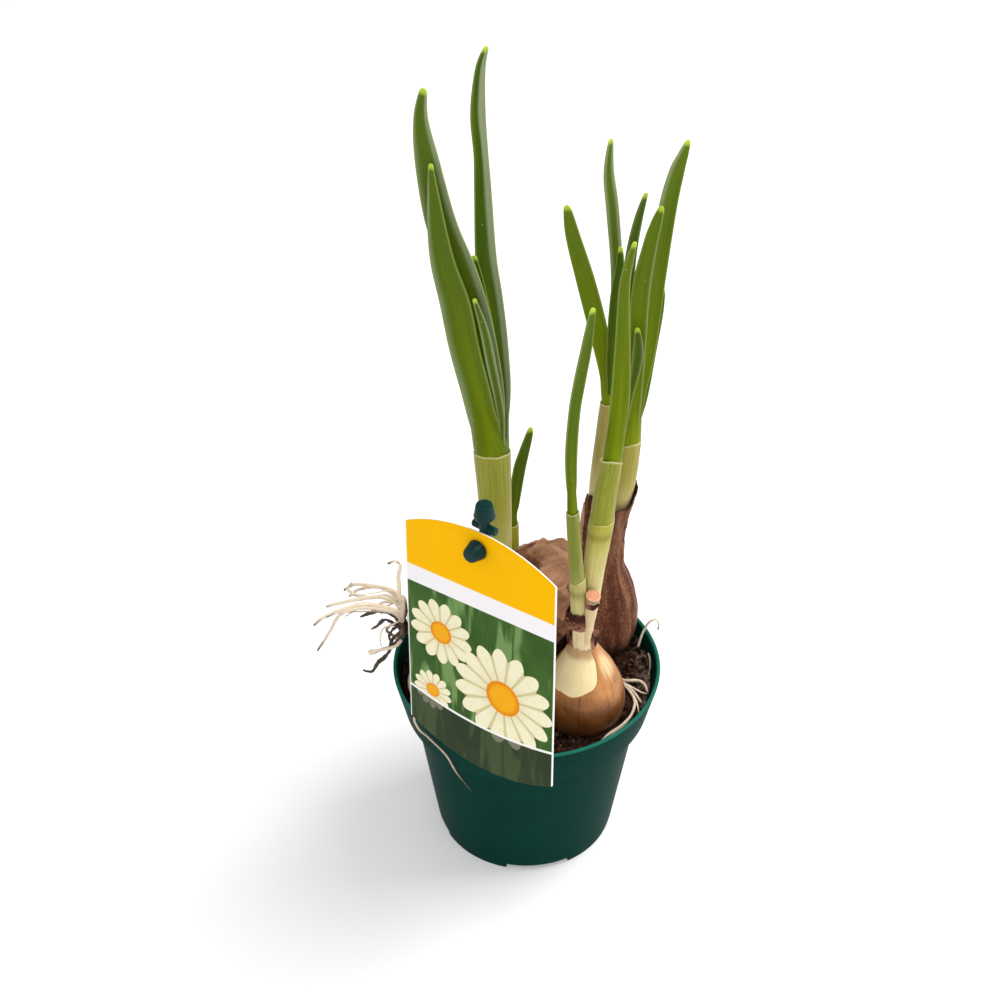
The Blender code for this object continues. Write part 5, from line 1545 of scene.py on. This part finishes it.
def add_sheath(form, name, mouth, wall, extra, rim, seed):
    """One tube of a shoot's sheath, up to the height of its mouth."""
    stations = SHEATHS[name]
    foot = stations[0][0][2]
    top = stations[-1][0][2]
    green, tan = SHEATH_LOOK[name]
    if extra:
        green -= OUTER_SHEATH_YELLOWER
    slant, horns, front = rim
    turns = turns_round(SHEATH_COLUMNS)
    rows = []
    grain = []
    share = []
    tone = []

    def ring(height, inset, weight):
        stop = station_at(stations, min(height, top))
        row = []
        for turn in turns:
            side = math.cos(turn)
            ribs = SHEATH_RIB_DEPTH * math.sin(turn * SHEATH_RIBS + seed)
            crease = 0.1 * rough((side * 3, math.sin(turn) * 3, height * 0.08 + seed), 1.0)
            reach = extra - inset + ribs + crease
            wave = 0.15 * math.sin(3 * turn + seed) + 0.1 * math.sin(8 * turn + 2 * seed)
            raised = front * max(-math.sin(turn), 0.0) ** 1.5
            lift = weight * (wave + slant * side + horns * (side ** 2 - 0.5) + raised)
            row.append(oval_point(stop, turn, reach, height + lift))
        rows.append(row)
        grain.append(circle(turns, (stop[1] + stop[2]) / 2, height + seed * 23))
        left = mouth - height
        share.append([(turn / TURN, (height - foot) / (top - foot), left) for turn in turns])
        # Painted shade: a darker band a little below the outer sheath's mouth.
        shade = hump(left, 6.5, 2.2) if extra else 0.0
        tone.append([(green, min(tan + 0.6 * abs(math.cos(a)) ** 3, 1.0), shade) for a in turns])

    for i in range(SHEATH_ROWS + 1):
        t = i / SHEATH_ROWS
        ring(foot + (mouth - foot) * (1 - (1 - t) ** 1.5), 0.0, t ** 8)
    ring(mouth, wall * 0.5, 1.0)
    for part in (0.03, 0.3, 0.65, 1.0):
        ring(mouth - SHEATH_HOLE * part, wall, 0.0)
    form.wrap(rows, grain, share, tone)


def bulb_rows(stations, count, turns, surface, top_lift=None):
    """Rows up a round bulb, with surface(turn, height) added to its radii."""
    rows = []
    for i in range(count + 1):
        t = i / count
        stop = station(stations, t)
        height = stop[0].z
        row = []
        for turn in turns:
            lift = top_lift(turn) * t ** 12 if top_lift else 0.0
            row.append(oval_point(stop, turn, surface(turn, height), height + lift))
        rows.append(row)
    return rows


def inner_ring(stations, turns, inset, drop):
    """A level ring inside the wall of a bulb's neck, at a drop below its rim."""
    stop = station_at(stations, stations[-1][0][2] - drop)
    return [oval_point(stop, turn, -inset, stop[0].z) for turn in turns]


def row_heights(stations, rows, count):
    """The height of each row's station, where the rows after count stay with the last one."""
    return [station(stations, min(i / count, 1.0))[0].z for i, _ in enumerate(rows)]


def torn_edge(turn, height):
    """How far inside the torn window of the front bulb's skin a point lies, in millimetres."""
    reach = abs(turn_from(turn, TORN_TURN) * FRONT_SHOULDER_RADIUS) / TORN_HALF_WIDTH
    rise = abs(height - TORN_HEIGHT) / TORN_HALF_HEIGHT
    wander = 0.5 * math.sin(turn * 9) + 0.35 * math.sin(height * 0.8)
    return (1 - (reach ** 2.6 + rise ** 2.6) ** (1 / 2.6)) * 17.0 + 0.4 * wander


def build_front_bulb():
    """The front bulb's veined skin, torn back over a cream scale, with the cup in its neck."""
    turns = turns_round(FRONT_COLUMNS)

    def surface(turn, height):
        skin = 0.22 / (1 + math.exp(torn_edge(turn, height) * 7))
        folds = 0.08 * ridged(turn, height, 26, 5.0) + 0.06 * rough((turn * 6, height * 0.3, 0), 1.0)
        return skin + folds - 0.16

    rows = bulb_rows(FRONT_SKIN, FRONT_ROWS, turns, surface)
    for inset, drop in ((0.5, 0.0), (SKIN, FRONT_CUP * 0.5), (SKIN, FRONT_CUP)):
        rows.append(inner_ring(FRONT_SKIN, turns, inset, drop))
    heights = row_heights(FRONT_SKIN, rows, FRONT_ROWS)
    share = []
    tone = []
    for height in heights:
        row = []
        row_tone = []
        for turn in turns:
            around = heading(turn)
            drift = 0.9 * noise.noise(around * 3.0 + UP * (height * 0.012))
            wobble = 0.25 * noise.noise(around * 7.0 + UP * (height * 0.05))
            place = turn * FRONT_VEINS / TURN + drift + wobble
            gap = abs(place - round(place)) * TURN / FRONT_VEINS * FRONT_SHOULDER_RADIUS
            row.append((gap, (height - 74) / 53, torn_edge(turn, height)))
            # Painted highlight: how strongly the skin is painted pale here, round its right shoulder.
            apart = turn_from(turn, PAINTED_HIGHLIGHT_TURN)
            painted_highlight = math.exp(-(apart * 13.0 / 5.5) ** 2 - ((height - PAINTED_HIGHLIGHT_HEIGHT) / 6.5) ** 2)
            row_tone.append((painted_highlight, 0.0, 0.0))
        share.append(row)
        tone.append(row_tone)
    form = Form()
    form.wrap(rows, [circle(turns, 16.0, height) for height in heights], share, tone)
    dress(form.piece("golden_bulb", golden_skin(), sharp=180.0), "pale_bulb_skin", "bulb_front")


def add_wall(form, stations, shades, seed, wall=0.35, torn=(0.8, 0.8), folding=0.35, curl=0.0):
    """A thin papery wall that loops round, with torn edges and a tone at each turn."""
    turns = turns_round(WALL_COLUMNS)
    height = stations[-1][0][2] - stations[0][0][2]
    shares = [i / WALL_ROWS for i in range(WALL_ROWS + 1)]
    outer = []
    inner = []
    for t in shares:
        middle, half_width, half_depth = station(stations, t)
        row = []
        for turn in turns:
            way = heading(turn)
            jag = 0.6 * noise.noise(way * 2.2 + UP * seed) + 0.4 * noise.noise(way * 7 + UP * seed)
            lift = jag * (torn[0] * (1 - t) ** 3 + torn[1] * t ** 3) * 2.0
            fold = folding * (noise.noise(way * 3.4 + UP * (seed + t * 1.2))
                              + 0.4 * noise.noise(way * 9 + UP * (seed + t * 3)))
            flare = curl * (1 - t) ** 4 * (0.5 + noise.noise(way * 2.7 + UP * (seed + 9)))
            reach = fold + flare
            row.append(Vector((middle.x + (half_width + reach) * way.x,
                               middle.y + (half_depth + reach) * way.y, middle.z + lift)))
        outer.append(row)
        inner.append([point + wall * Vector((middle.x - point.x, middle.y - point.y, 0)).normalized()
                      for point in row])
    rows = outer + inner[::-1]
    share = [[(0.0, t, min(t, 1 - t) * height)] for t in shares + shares[::-1]]
    tone = [[shades(turn) for turn in turns]]
    form.wrap(rows, rows, share, tone, joined=True)


def add_ribbon(form, course, width, thickness, facing, tone, seed=0.0):
    """A thin dry strip along a course, with ragged ends."""
    steps = (len(course) - 1) * RIBBON_ROWS_A_POINT
    points = [along([Vector(p) for p in course], i / steps) for i in range(steps + 1)]
    rows = []
    share = []
    for i, point in enumerate(points):
        t = i / steps
        ahead = (points[min(i + 1, steps)] - points[max(i - 1, 0)]).normalized()
        across = ahead.cross(facing).normalized()
        normal = across.cross(ahead).normalized()
        body = math.sin(math.pi * min(max(t, 0.03), 0.97)) ** 0.4
        half = width / 2 * body * (1 + 0.3 * noise.noise(Vector((t * 5, seed, 0))))
        row = []
        for place in RIBBON_PLACES:
            back = len(row) > 4
            bow = 0.25 * width * (1 - place ** 2) * math.sin(seed + t * 3)
            wall = thickness * (-0.5 if back else 0.5) * (0.0 if abs(place) == 1 else 1.0)
            row.append(point + across * (half * place) + normal * (bow * 0.4 + wall))
        rows.append(row)
        share.append([(0.0, t, width / 2 * (1 - abs(place))) for place in RIBBON_PLACES])
    form.wrap(rows, rows, share, tone)


def add_tube(form, stops, sides, uneven):
    """A round tube through stops (place, radius), marked with its share of width and rise."""
    points = [Vector(place) for place, _ in stops]
    widest = max(radius for _, radius in stops)
    rise = points[-1].z - points[0].z
    rows = []
    share = []
    for (place, radius), (side, other) in zip(stops, section_sides(points)):
        row = []
        for turn in turns_round(sides):
            way = side * math.cos(turn) + other * math.sin(turn)
            bump = uneven * rough(Vector(place) + way * radius, 2.5)
            row.append(Vector(place) + way * (radius + bump))
        rows.append(row)
        share.append([(radius / widest, (place[2] - points[0].z) / rise, 0.0)])
    form.wrap(rows, rows, share)


def build_front_neck(draw):
    """The papery scale and dark cup round the front shoot, and the cut-off stalk beside it."""
    def scale_tone(turn):
        apart = abs(turn_from(turn, SCALE_PALE_TURN))
        return (clamp((apart - 0.55) / 0.2), 0.0, 0.0)

    form = Form()
    add_wall(form, FRONT_SCALE, scale_tone, 3.0, torn=(2.0, 0.5), folding=0.55, curl=0.9)
    add_wall(form, FRONT_DARK_CUP, lambda turn: (1.0, 0.0, 0.0), 8.0, torn=(0.9, 0.9), folding=0.4,
             curl=0.3)
    for i in range(CUP_SHREDS):
        turn = math.radians(-200 + 14 * i + draw.uniform(-5, 5))
        way = heading(turn)
        foot = Vector((21.4, -26.1, 143.0 + draw.uniform(-1.5, 2.0))) + way * 5.4
        end = foot + way * draw.uniform(0.1, 0.7) - UP * draw.uniform(0.8, 2.2)
        bend = (foot + end) / 2 + way * 0.4
        add_ribbon(form, [foot, bend, end], draw.uniform(0.8, 1.8), 0.2, way,
                   (draw.uniform(0.7, 1.0), 0.0, 0.0), seed=i)
    for course, width, dark in NECK_SHREDS:
        add_ribbon(form, course, width, 0.25, Vector((0.2, -1.0, 0.1)), (dark, 0.0, 0.0), seed=width)
    item = form.piece("neck_paper", papery_scale(), sharp=50.0)
    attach(item, "root")

    stub = Form()
    course = [Vector(place) for place, _ in STUB_COURSE]
    sizes = [radius for _, radius in STUB_COURSE]
    stops = []
    for i in range(STUB_ROWS + 1):
        stops.append((tuple(along(course, i / STUB_ROWS)), along(sizes, i / STUB_ROWS)))
    add_tube(stub, stops + STUB_END, 48, uneven=0.16)
    item = stub.piece("cut_stalk", stub_flesh(), sharp=40.0)
    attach(item, "root")


def add_turned(form, foot, direction, profile, sides):
    """A turned form on an axis: profile points (radius, height) from its foot up."""
    direction = direction.normalized()
    side = direction.orthogonal().normalized()
    other = direction.cross(side)
    turns = turns_round(sides)
    rows = []
    for radius, height in profile:
        rows.append([foot + direction * height
                     + (side * math.cos(turn) + other * math.sin(turn)) * radius for turn in turns])
    tallest = profile[-1][1]
    widest = max(radius for radius, _ in profile)
    grain = [circle(turns, radius, height) for radius, height in profile]
    share = [[(radius / widest, height / tallest, 0.0)] for radius, height in profile]
    form.wrap(rows, grain, share)


def build_rear_bulb():
    """The rear bulb: a fibrous skin drawn up into a wrinkled neck, torn open at its mouth."""
    finish = brown_skin()
    turns = turns_round(REAR_COLUMNS)
    rim_height = REAR_BULB[-1][0][2]

    def surface(turn, height):
        neck = clamp((height - REAR_NECK_HEIGHT) / 14)
        around = Vector((math.cos(turn), math.sin(turn), height * 0.05))
        swells = 0.5 * noise.noise(around * 2.2)
        ridges = 0.12 * ridged(turn, height, 34, 2.0) + 0.12 * ridged(turn, height * 1.5, 90, 7.0)
        slant = turn * 9 + height * 0.35
        wrinkles = 0.35 * math.sin(slant + 2 * noise.noise(around * 4)) + 0.3 * rough(
            (turn * 4, height * 0.6, 0), 2.0)
        return swells + ridges + neck * wrinkles

    def top(turn):
        lift = -1.0 + 1.2 * noise.noise(Vector((math.cos(turn) * 4, math.sin(turn) * 4, 3)))
        for middle, width, rise in REAR_TORN:
            lift += rise * math.exp(-(turn_from(turn, math.radians(middle)) / width) ** 4)
        return lift

    rows = bulb_rows(REAR_BULB, REAR_ROWS, turns, surface, top)
    lifts = [point[2] - rim_height for point in rows[-1]]
    lip = inner_ring(REAR_BULB, turns, 0.35, 0.0)
    rows.append([(x, y, z + lift) for (x, y, z), lift in zip(lip, lifts)])
    for drop in (2.0, 7.0, REAR_CUP):
        rows.append(inner_ring(REAR_BULB, turns, SKIN, drop))
    heights = row_heights(REAR_BULB, rows, REAR_ROWS)
    share = []
    tone = []
    for i, height in enumerate(heights):
        lining = 1.0 if i > REAR_ROWS + 1 else 0.0
        torn = max(1 - abs(REAR_ROWS + 0.5 - i) / 4, 0.0)
        share.append([(torn, (height - 80) / 92, 1.2 * ridged(turn, height, 34, 2.0))
                      for turn in turns])
        tone.append([(0.25, lining, 0.0)])
    form = Form()
    form.wrap(rows, [circle(turns, 16.0, height) for height in heights], share, tone)
    for i, (course, width, pale, lining) in enumerate(REAR_FLAPS):
        facing = Vector(course[1]) - Vector((34.5, 19.0, course[1][2]))
        add_ribbon(form, course, width, 0.35, facing.normalized(), (pale, lining, 0.0), seed=i * 1.7)
    dress(form.piece("brown_bulb_rear", finish, sharp=180.0), "bulb_skin", "bulb_rear")
    return finish


def crumple(point, size):
    """Crumpled paper: its height from 0 to 1, sharp ridges round hollows, and a tone for its facet that
    paints it lighter or darker as if turned to the light.
    """
    place = Vector(point) / size
    distances, spots = noise.voronoi(place)
    small, _ = noise.voronoi(place * 2.3 + UP * 4)
    hollow = min(distances[1] - distances[0], 0.8) / 0.8
    dimple = min(small[1] - small[0], 0.8) / 0.8
    return 1 - 0.8 * hollow - 0.2 * dimple, noise.cell(spots[0] * 7.0)


def build_left_bulb(finish):
    """The bulb on its side, crumpled at its right end, with the collar of its two shoots."""
    turns = turns_round(LEFT_COLUMNS)

    def dent(turn, row):
        depth = 0.004 + 0.012 * min(max(row - 5, 0), 3)
        return depth * (math.sin(5 * turn + 1.7 * row) + math.sin(9 * turn - 2.3 * row))

    rows = []
    grain = []
    share = []
    tone = []
    for i in range(LEFT_ROWS + 1):
        t = i / LEFT_ROWS
        middle, half_depth, half_height = station(LEFT_BULB, t)
        end = clamp((t - CRUMPLED_FROM) / CRUMPLED_EASE)
        row = []
        marks = []
        tones = []
        for turn in turns:
            reach = 1 + dent(turn, t * (len(LEFT_BULB) - 1))
            base = Vector((middle.x, middle.y + half_depth * reach * math.cos(turn),
                           middle.z + half_height * reach * math.sin(turn)))
            height, facet = crumple(base + Vector((4.0, 0.0, 1.0)), CRUMPLE_SIZE)
            folds = height - 0.45
            ridges = 0.2 * ridged(turn, middle.x, 46, 9.0)
            pit = hump((base - LEFT_PIT).length, 0.0, LEFT_PIT_RADIUS)
            extra = ridges * (1 - end) + CRUMPLE_DEPTH * end * folds - LEFT_PIT_DEPTH * pit
            row.append((base.x, base.y + extra * math.cos(turn), base.z + extra * math.sin(turn)))
            crest = end * max(folds - 0.3, 0.0) * 2.0
            valley = end * max(-0.2 - folds, 0.0) * 2.0
            # The third mark is the relief, which the finish paints a little paler on ridges and crests
            # and as painted shade in valleys and the pit.
            marks.append((0.0, 0.5 + 0.3 * math.sin(turn),
                          ridges * 2.0 + crest - valley - 4 * pit))
            # Painted shading: each facet of the crumpled end is made paler or darker by its tone, as if
            # turned to the light.
            tones.append((0.35 + end * (0.1 + 0.5 * facet), 0.0, end * (0.5 + 0.5 * facet)))
        rows.append(row)
        grain.append(circle(turns, 22.0, middle.x))
        share.append(marks)
        tone.append(tones)
    form = Form()
    form.wrap(rows, grain, share, tone)
    add_wall(form, LEFT_COLLAR, lambda turn: (0.7, 0.0, 0.0), 31.0, wall=0.8, torn=(0.0, 1.2),
             folding=0.8)
    dress(form.piece("brown_bulb_left", finish, sharp=60.0), "bulb_skin", "bulb_left")


def add_crown(form, crown, tone):
    """The rough root plate from which roots spring."""
    centre, radii = crown
    rows = []
    for i in range(1, CROWN_ROWS):
        row = []
        for turn in turns_round(CROWN_COLUMNS):
            way = on_ball(math.pi * i / CROWN_ROWS, turn)
            reach = 1 + 0.14 * rough(way, 0.4)
            row.append(Vector(centre) + Vector([w * r * reach for w, r in zip(way, radii)]))
        rows.append(row)
    form.wrap(rows, rows, rows, tone)


def add_hairs(form, course, count, length, tone, draw):
    """Short fine hairs that stand out from a root."""
    points = [Vector(p) for p in course]
    for _ in range(count):
        t = draw.uniform(0.15, 0.98)
        foot = along(points, t)
        way = Vector((draw.gauss(0, 1), draw.gauss(0, 1), draw.gauss(0, 0.8))).normalized()
        reach = length * draw.uniform(0.4, 1.0)
        bend = way + Vector((draw.gauss(0, 0.4), draw.gauss(0, 0.4), draw.gauss(0, 0.4)))
        middle = foot + way * reach * 0.5
        add_strand(form, [foot, middle, middle + bend * reach * 0.4], HAIR_RADIUS, tone, sides=4,
                   rows_a_point=2)


def laid(course, radius):
    """A strand's points, lifted from heights above the compost to heights above the pot's foot."""
    return [(x, y, soil_level(x, y) + CLOD_HEIGHT + radius + lift) for x, y, lift in course]


def build_roots(draw):
    """The roots: two tufts on the left bulb, one in front, and three that lie or hang alone."""
    cream = pale_root()
    dry = withered_root()
    tuft = Form()
    add_crown(tuft, PALE_CROWN, (0.0, 0.3, 0.4))
    for i, (course, radius) in enumerate(PALE_ROOTS):
        tone = (0.4 + 0.6 * draw.random(), 0.6 * draw.random(), 0.25 * draw.random())
        add_strand(tuft, course, radius, tone, uneven=0.16)
        add_hairs(tuft, course, 5, 2.2, (0.0, 0.4, 0.6), draw)
        if i % 2 == 0:
            side = [tuple(Vector(p) + Vector((0.6, -1.4, 0.9))) for p in course[1:-1]]
            add_strand(tuft, side, radius * 0.5, tone, uneven=0.2)
    for course, radius, tone in FINE_ROOTS:
        add_strand(tuft, course, radius, tone, uneven=0.15)
    add_strand(tuft, BUD_ROOT, 0.75, (0.0, 0.5, 0.1), uneven=0.12, taper=0.0,
               swell=lambda t: 1 + 0.7 * hump(t, 0.88, 0.08))
    dress(tuft.piece("pale_root_tuft", cream), "root", "roots_left_pale")

    withered = Form()
    add_crown(withered, DRY_CROWN, (0.2, 0.0, 0.0))
    for i, (course, radius) in enumerate(DRY_ROOTS):
        light = 0.9 if i == 2 else 0.15 * draw.random()
        add_strand(withered, course, radius, (light, 0.0, 0.0), uneven=0.45,
                   swell=lambda t: 1 + 0.25 * math.sin(t * 19) * math.sin(t * 7 + 1))
        add_hairs(withered, course, 12, 2.4, (0.1, 0.0, 0.0), draw)
    dress(withered.piece("withered_root_tuft", dry), "dry_root", "roots_left_dry")

    front = Form()
    add_crown(front, FRONT_CROWN, (0.0, 0.2, 0.5))
    for course, radius in FRONT_ROOTS:
        add_strand(front, laid(course, radius), radius, (0.9, 0.5, 0.3), uneven=0.16)
        add_hairs(front, laid(course, radius), 5, 1.6, (0.0, 0.3, 0.6), draw)
    for course, radius, tone in FRONT_ROOTLETS:
        add_strand(front, laid(course, radius), radius, tone, uneven=0.18)
    add_ribbon(front, RIM_MEMBRANE, 1.7, 0.3, Vector((-1.0, 0.0, 0.5)).normalized(),
               (0.0, 0.3, 0.45), seed=2.0)
    dress(front.piece("front_root_tuft", cream), "root", "roots_front")

    lone_roots = (
        ("soil_root", "root_on_soil", laid(*SOIL_STRAND), SOIL_STRAND[1], (0.5, 0.3, 0.0), 0.12),
        ("rim_root", "root_over_rim", *RIM_ROOT, (1.0, 0.1, 0.1), 0.15),
        ("hanging_root_thread", "root_hanging", *HANGING_ROOT, (1.0, 1.0, 0.5), 0.2),
    )
    for name, node, course, radius, tone, uneven in lone_roots:
        form = Form()
        add_strand(form, course, radius, tone, uneven=uneven)
        dress(form.piece(name, cream), "root", node)


def tag_frame():
    """The tag's own axes: across, up its face, and out of its face."""
    out = Vector((-math.sin(TAG_TURN), -math.cos(TAG_TURN), 0))
    level = Vector((math.cos(TAG_TURN), -math.sin(TAG_TURN), 0))
    rise = UP * math.cos(TAG_LEAN) - out * math.sin(TAG_LEAN)
    face = out * math.cos(TAG_LEAN) + UP * math.sin(TAG_LEAN)
    across = level * math.cos(TAG_ROLL) + rise * math.sin(TAG_ROLL)
    up = rise * math.cos(TAG_ROLL) - level * math.sin(TAG_ROLL)
    return across, up, face


def daisy(x, y, centre, size, petals, spin):
    """A round open flower of narrow petals: its outline, petal shade, eye and distance out."""
    dx = x - centre[0]
    dy = y - centre[1]
    reach = reckon("SQRT", dx * dx + dy * dy)
    turn = reckon("ARCTAN2", dy, dx)
    lobes = reckon("COSINE", turn * float(petals) + spin)
    edge = size * (0.8 + 0.2 * ((lobes * 0.5 + 0.5) ** 0.5))
    outline = 1 - ramp(reach - edge, -0.15, 0.15)
    crease = 1 - ramp(lobes, -1.0, -0.55)
    shade = crease * 0.75 + ramp(reach / size, 0.65, 0.2) * 0.4
    eye = 1 - ramp(reach - size * 0.34, -0.2, 0.2)
    return outline, shade, eye, reach


def tag_print():
    """Printed card: an amber head, a white band and round cream flowers on a green ground."""
    finish = Finish("tag_print", Specular_IOR_Level=0.03)
    plane = finish.mark("grain")
    x, y, face = finish.parts(plane)
    cloud = finish.grain(plane, 0.05, 3.0)
    stems = finish.grain(plane, (0.16, 0.025, 1.0), 2.0, 0.5, 0.4)
    picture = layered(
        mix(cloud, (28, 56, 26), (84, 122, 54)),
        (ramp(stems, 0.5, 0.62), (116, 150, 88)),
        (ramp(stems, 0.34, 0.2), (206, 208, 178)),
    )
    speck = finish.grain(plane, 1.1, 3.0)
    fold = ramp(finish.grain(plane, 0.35, 3.0), 0.5, 0.75) * 0.4
    for centre, size, petals, spin in DAISIES:
        outline, shade, eye, reach = daisy(x, y, centre, size, petals, spin)
        petal = mix(fold, mix(shade, (246, 240, 206), (204, 188, 130)), (226, 212, 160))
        picture = mix(outline, picture, petal)
        amber = mix(speck, (238, 150, 6), (252, 196, 40))
        amber = mix(ramp(reach / size, 0.22, 0.32) * 0.7, amber, (228, 118, 10))
        picture = mix(eye, picture, amber)
    arc = y + 38.0 - (x * x) * 0.0035
    panel = 1 - ramp(arc, -0.2, 0.2)
    line = 1 - ramp(abs(arc), 0.5, 0.75)
    level = y - x * 0.028
    amber_head = mix(cloud, (255, 186, 0), (255, 196, 2))
    front = layered(
        mix(panel * 0.8, picture, (46, 50, 40)),
        (line, (248, 248, 244)),
        (ramp(level, 23.1, 23.3), (250, 247, 250)),
        (ramp(level, 31.5, 31.7), amber_head),
        (ramp(abs(x), 36.9, 37.15), (252, 252, 250)),
    )
    finish.paint(Base_Color=mix(ramp(face, 0.25, 0.3), (244, 244, 240), front))
    finish.paint(Roughness=0.3 + cloud * 0.08)
    finish.relief(finish.grain(plane, 0.9, 3.0), 0.02)
    return finish


def build_tag():
    """A thin plate with arched ends and a punched hole."""
    across, up, face = tag_frame()
    half = TAG_WIDTH / 2
    side = TAG_SIDE / 2
    arc = (half ** 2 + TAG_ARCH ** 2) / (2 * TAG_ARCH)
    reach = math.asin(half / arc)
    outline = []
    for sign in (1, -1):
        for i in range(TAG_ARCH_STEPS + 1):
            turn = reach * (1 - 2 * i / TAG_ARCH_STEPS)
            outline.append((sign * arc * math.sin(turn),
                            sign * (side + TAG_ARCH - arc + arc * math.cos(turn))))
    hole = [(x, TAG_HOLE_ABOVE_CENTRE + y)
            for x, y, _ in circle(turns_round(TAG_HOLE_SIDES), TAG_HOLE_RADIUS, 0.0)]
    curve = bpy.data.curves.new("tag_outline", "CURVE")
    curve.dimensions = "2D"
    curve.fill_mode = "BOTH"
    curve.extrude = (TAG_THICKNESS / 2 - TAG_BEVEL) * MM
    curve.bevel_depth = TAG_BEVEL * MM
    curve.bevel_resolution = 2
    curve.offset = -TAG_BEVEL * MM
    for points in (outline, hole):
        spline = curve.splines.new("POLY")
        spline.use_cyclic_u = True
        spline.points.add(len(points) - 1)
        for vertex, (x, y) in zip(spline.points, points):
            vertex.co = (x * MM, y * MM, 0, 1)
    item = bpy.data.objects.new("tag_outline", curve)
    bpy.context.scene.collection.objects.link(item)
    bpy.context.view_layer.update()
    graph = bpy.context.evaluated_depsgraph_get()
    mesh = bpy.data.meshes.new_from_object(item.evaluated_get(graph))
    bpy.data.objects.remove(item, do_unlink=True)
    whole = bmesh.new()
    whole.from_mesh(mesh)
    bmesh.ops.remove_doubles(whole, verts=whole.verts, dist=0.00001)
    whole.to_mesh(mesh)
    whole.free()
    write_marks(mesh, {"grain": [vertex.co / MM for vertex in mesh.vertices]})
    place = Matrix((across, up, face)).transposed().to_4x4()
    mesh.transform(Matrix.Translation(TAG_CENTRE * MM) @ place)
    mesh.shade_smooth()
    mesh.set_sharp_from_angle(angle=math.radians(30))
    tag = bpy.data.objects.new("printed_tag", mesh)
    mesh.materials.clear()
    mesh.materials.append(tag_print().material)
    bpy.context.scene.collection.objects.link(tag)
    dress(tag, "tag_plastic", "tag")


def build_stake():
    """The moulded stake: rod, knob, cross bar and the peg that holds the tag."""
    across, up, face = tag_frame()
    peg = TAG_CENTRE + up * TAG_HOLE_ABOVE_CENTRE - face * STAKE_BEHIND_TAG
    direction = (peg - STAKE_FOOT).normalized()
    length = (peg - STAKE_FOOT).length
    neck = length + STAKE_TOP - KNOB_LENGTH - KNOB_SKIRT
    form = Form()
    rod = [(0.5, 0.0), (STAKE_RADIUS - 0.3, 0.1), (STAKE_RADIUS, 0.5), (STAKE_RADIUS, neck + 0.5)]
    add_turned(form, STAKE_FOOT, direction, rod, 40)
    knob = [
        (STAKE_RADIUS - 0.2, -0.6), (STAKE_RADIUS + 0.1, 0.2), (KNOB_RADIUS - 0.9, KNOB_SKIRT - 0.9),
        (KNOB_RADIUS - 0.15, KNOB_SKIRT - 0.1), (KNOB_RADIUS, KNOB_SKIRT + 0.5),
        (KNOB_RADIUS - 0.3, KNOB_SKIRT + 1.6), (KNOB_TOP_RADIUS + 0.4, KNOB_SKIRT + KNOB_LENGTH - 0.4),
        (KNOB_TOP_RADIUS + 0.25, KNOB_SKIRT + KNOB_LENGTH - 0.1),
        (KNOB_TOP_RADIUS, KNOB_SKIRT + KNOB_LENGTH), (0.6, KNOB_SKIRT + KNOB_LENGTH - 0.1),
    ]
    add_turned(form, STAKE_FOOT + direction * neck, direction, knob, 48)
    bar_length, bar_thickness = CROSS_BAR
    level = across.cross(direction).cross(direction).normalized()
    middle = peg + direction * CROSS_BAR_ABOVE_PEG
    half = bar_thickness / 2
    bar = [(0.5, 0.0), (half - 0.4, 0.05), (half, 0.6), (half, bar_length - 0.6),
           (half - 0.4, bar_length - 0.05), (0.5, bar_length)]
    add_turned(form, middle - level * (bar_length / 2), level, bar, 32)
    reach = STAKE_BEHIND_TAG + TAG_THICKNESS / 2 + 0.35
    pin = [(0.5, 0.0), (STAKE_RADIUS, 0.05), (STAKE_RADIUS, reach + 0.5)]
    add_turned(form, peg, face, pin, 40)
    head = [
        (STAKE_RADIUS, 0.0), (KNOB_RADIUS - 0.4, 0.05), (KNOB_RADIUS, 0.5), (KNOB_RADIUS - 0.2, 1.4),
        (KNOB_TOP_RADIUS + 0.2, KNOB_LENGTH - 0.7), (KNOB_TOP_RADIUS - 0.1, KNOB_LENGTH - 0.15),
        (KNOB_TOP_RADIUS - 0.6, KNOB_LENGTH), (0.5, KNOB_LENGTH - 0.1),
    ]
    add_turned(form, peg + face * reach, face, head, 48)
    dress(form.piece("tag_stake", stake_teal(), sharp=35.0), "stake_plastic", "stake")


build_camera()
build_studio()
chance = random.Random(SEED)
build_pot()
build_compost(chance)
build_front_bulb()
build_front_neck(chance)
brown = build_rear_bulb()
build_left_bulb(brown)
sheath_finish = sheath_skin()
for number, sheath_name in enumerate(SHEATHS):
    build_sheath(sheath_name, sheath_finish, number + 1)
leaf_finish = leaf_green()
for number, leaf_name in enumerate(LEAVES):
    build_leaf(leaf_name, leaf_finish, number + 1)
build_roots(chance)
build_tag()
build_stake()
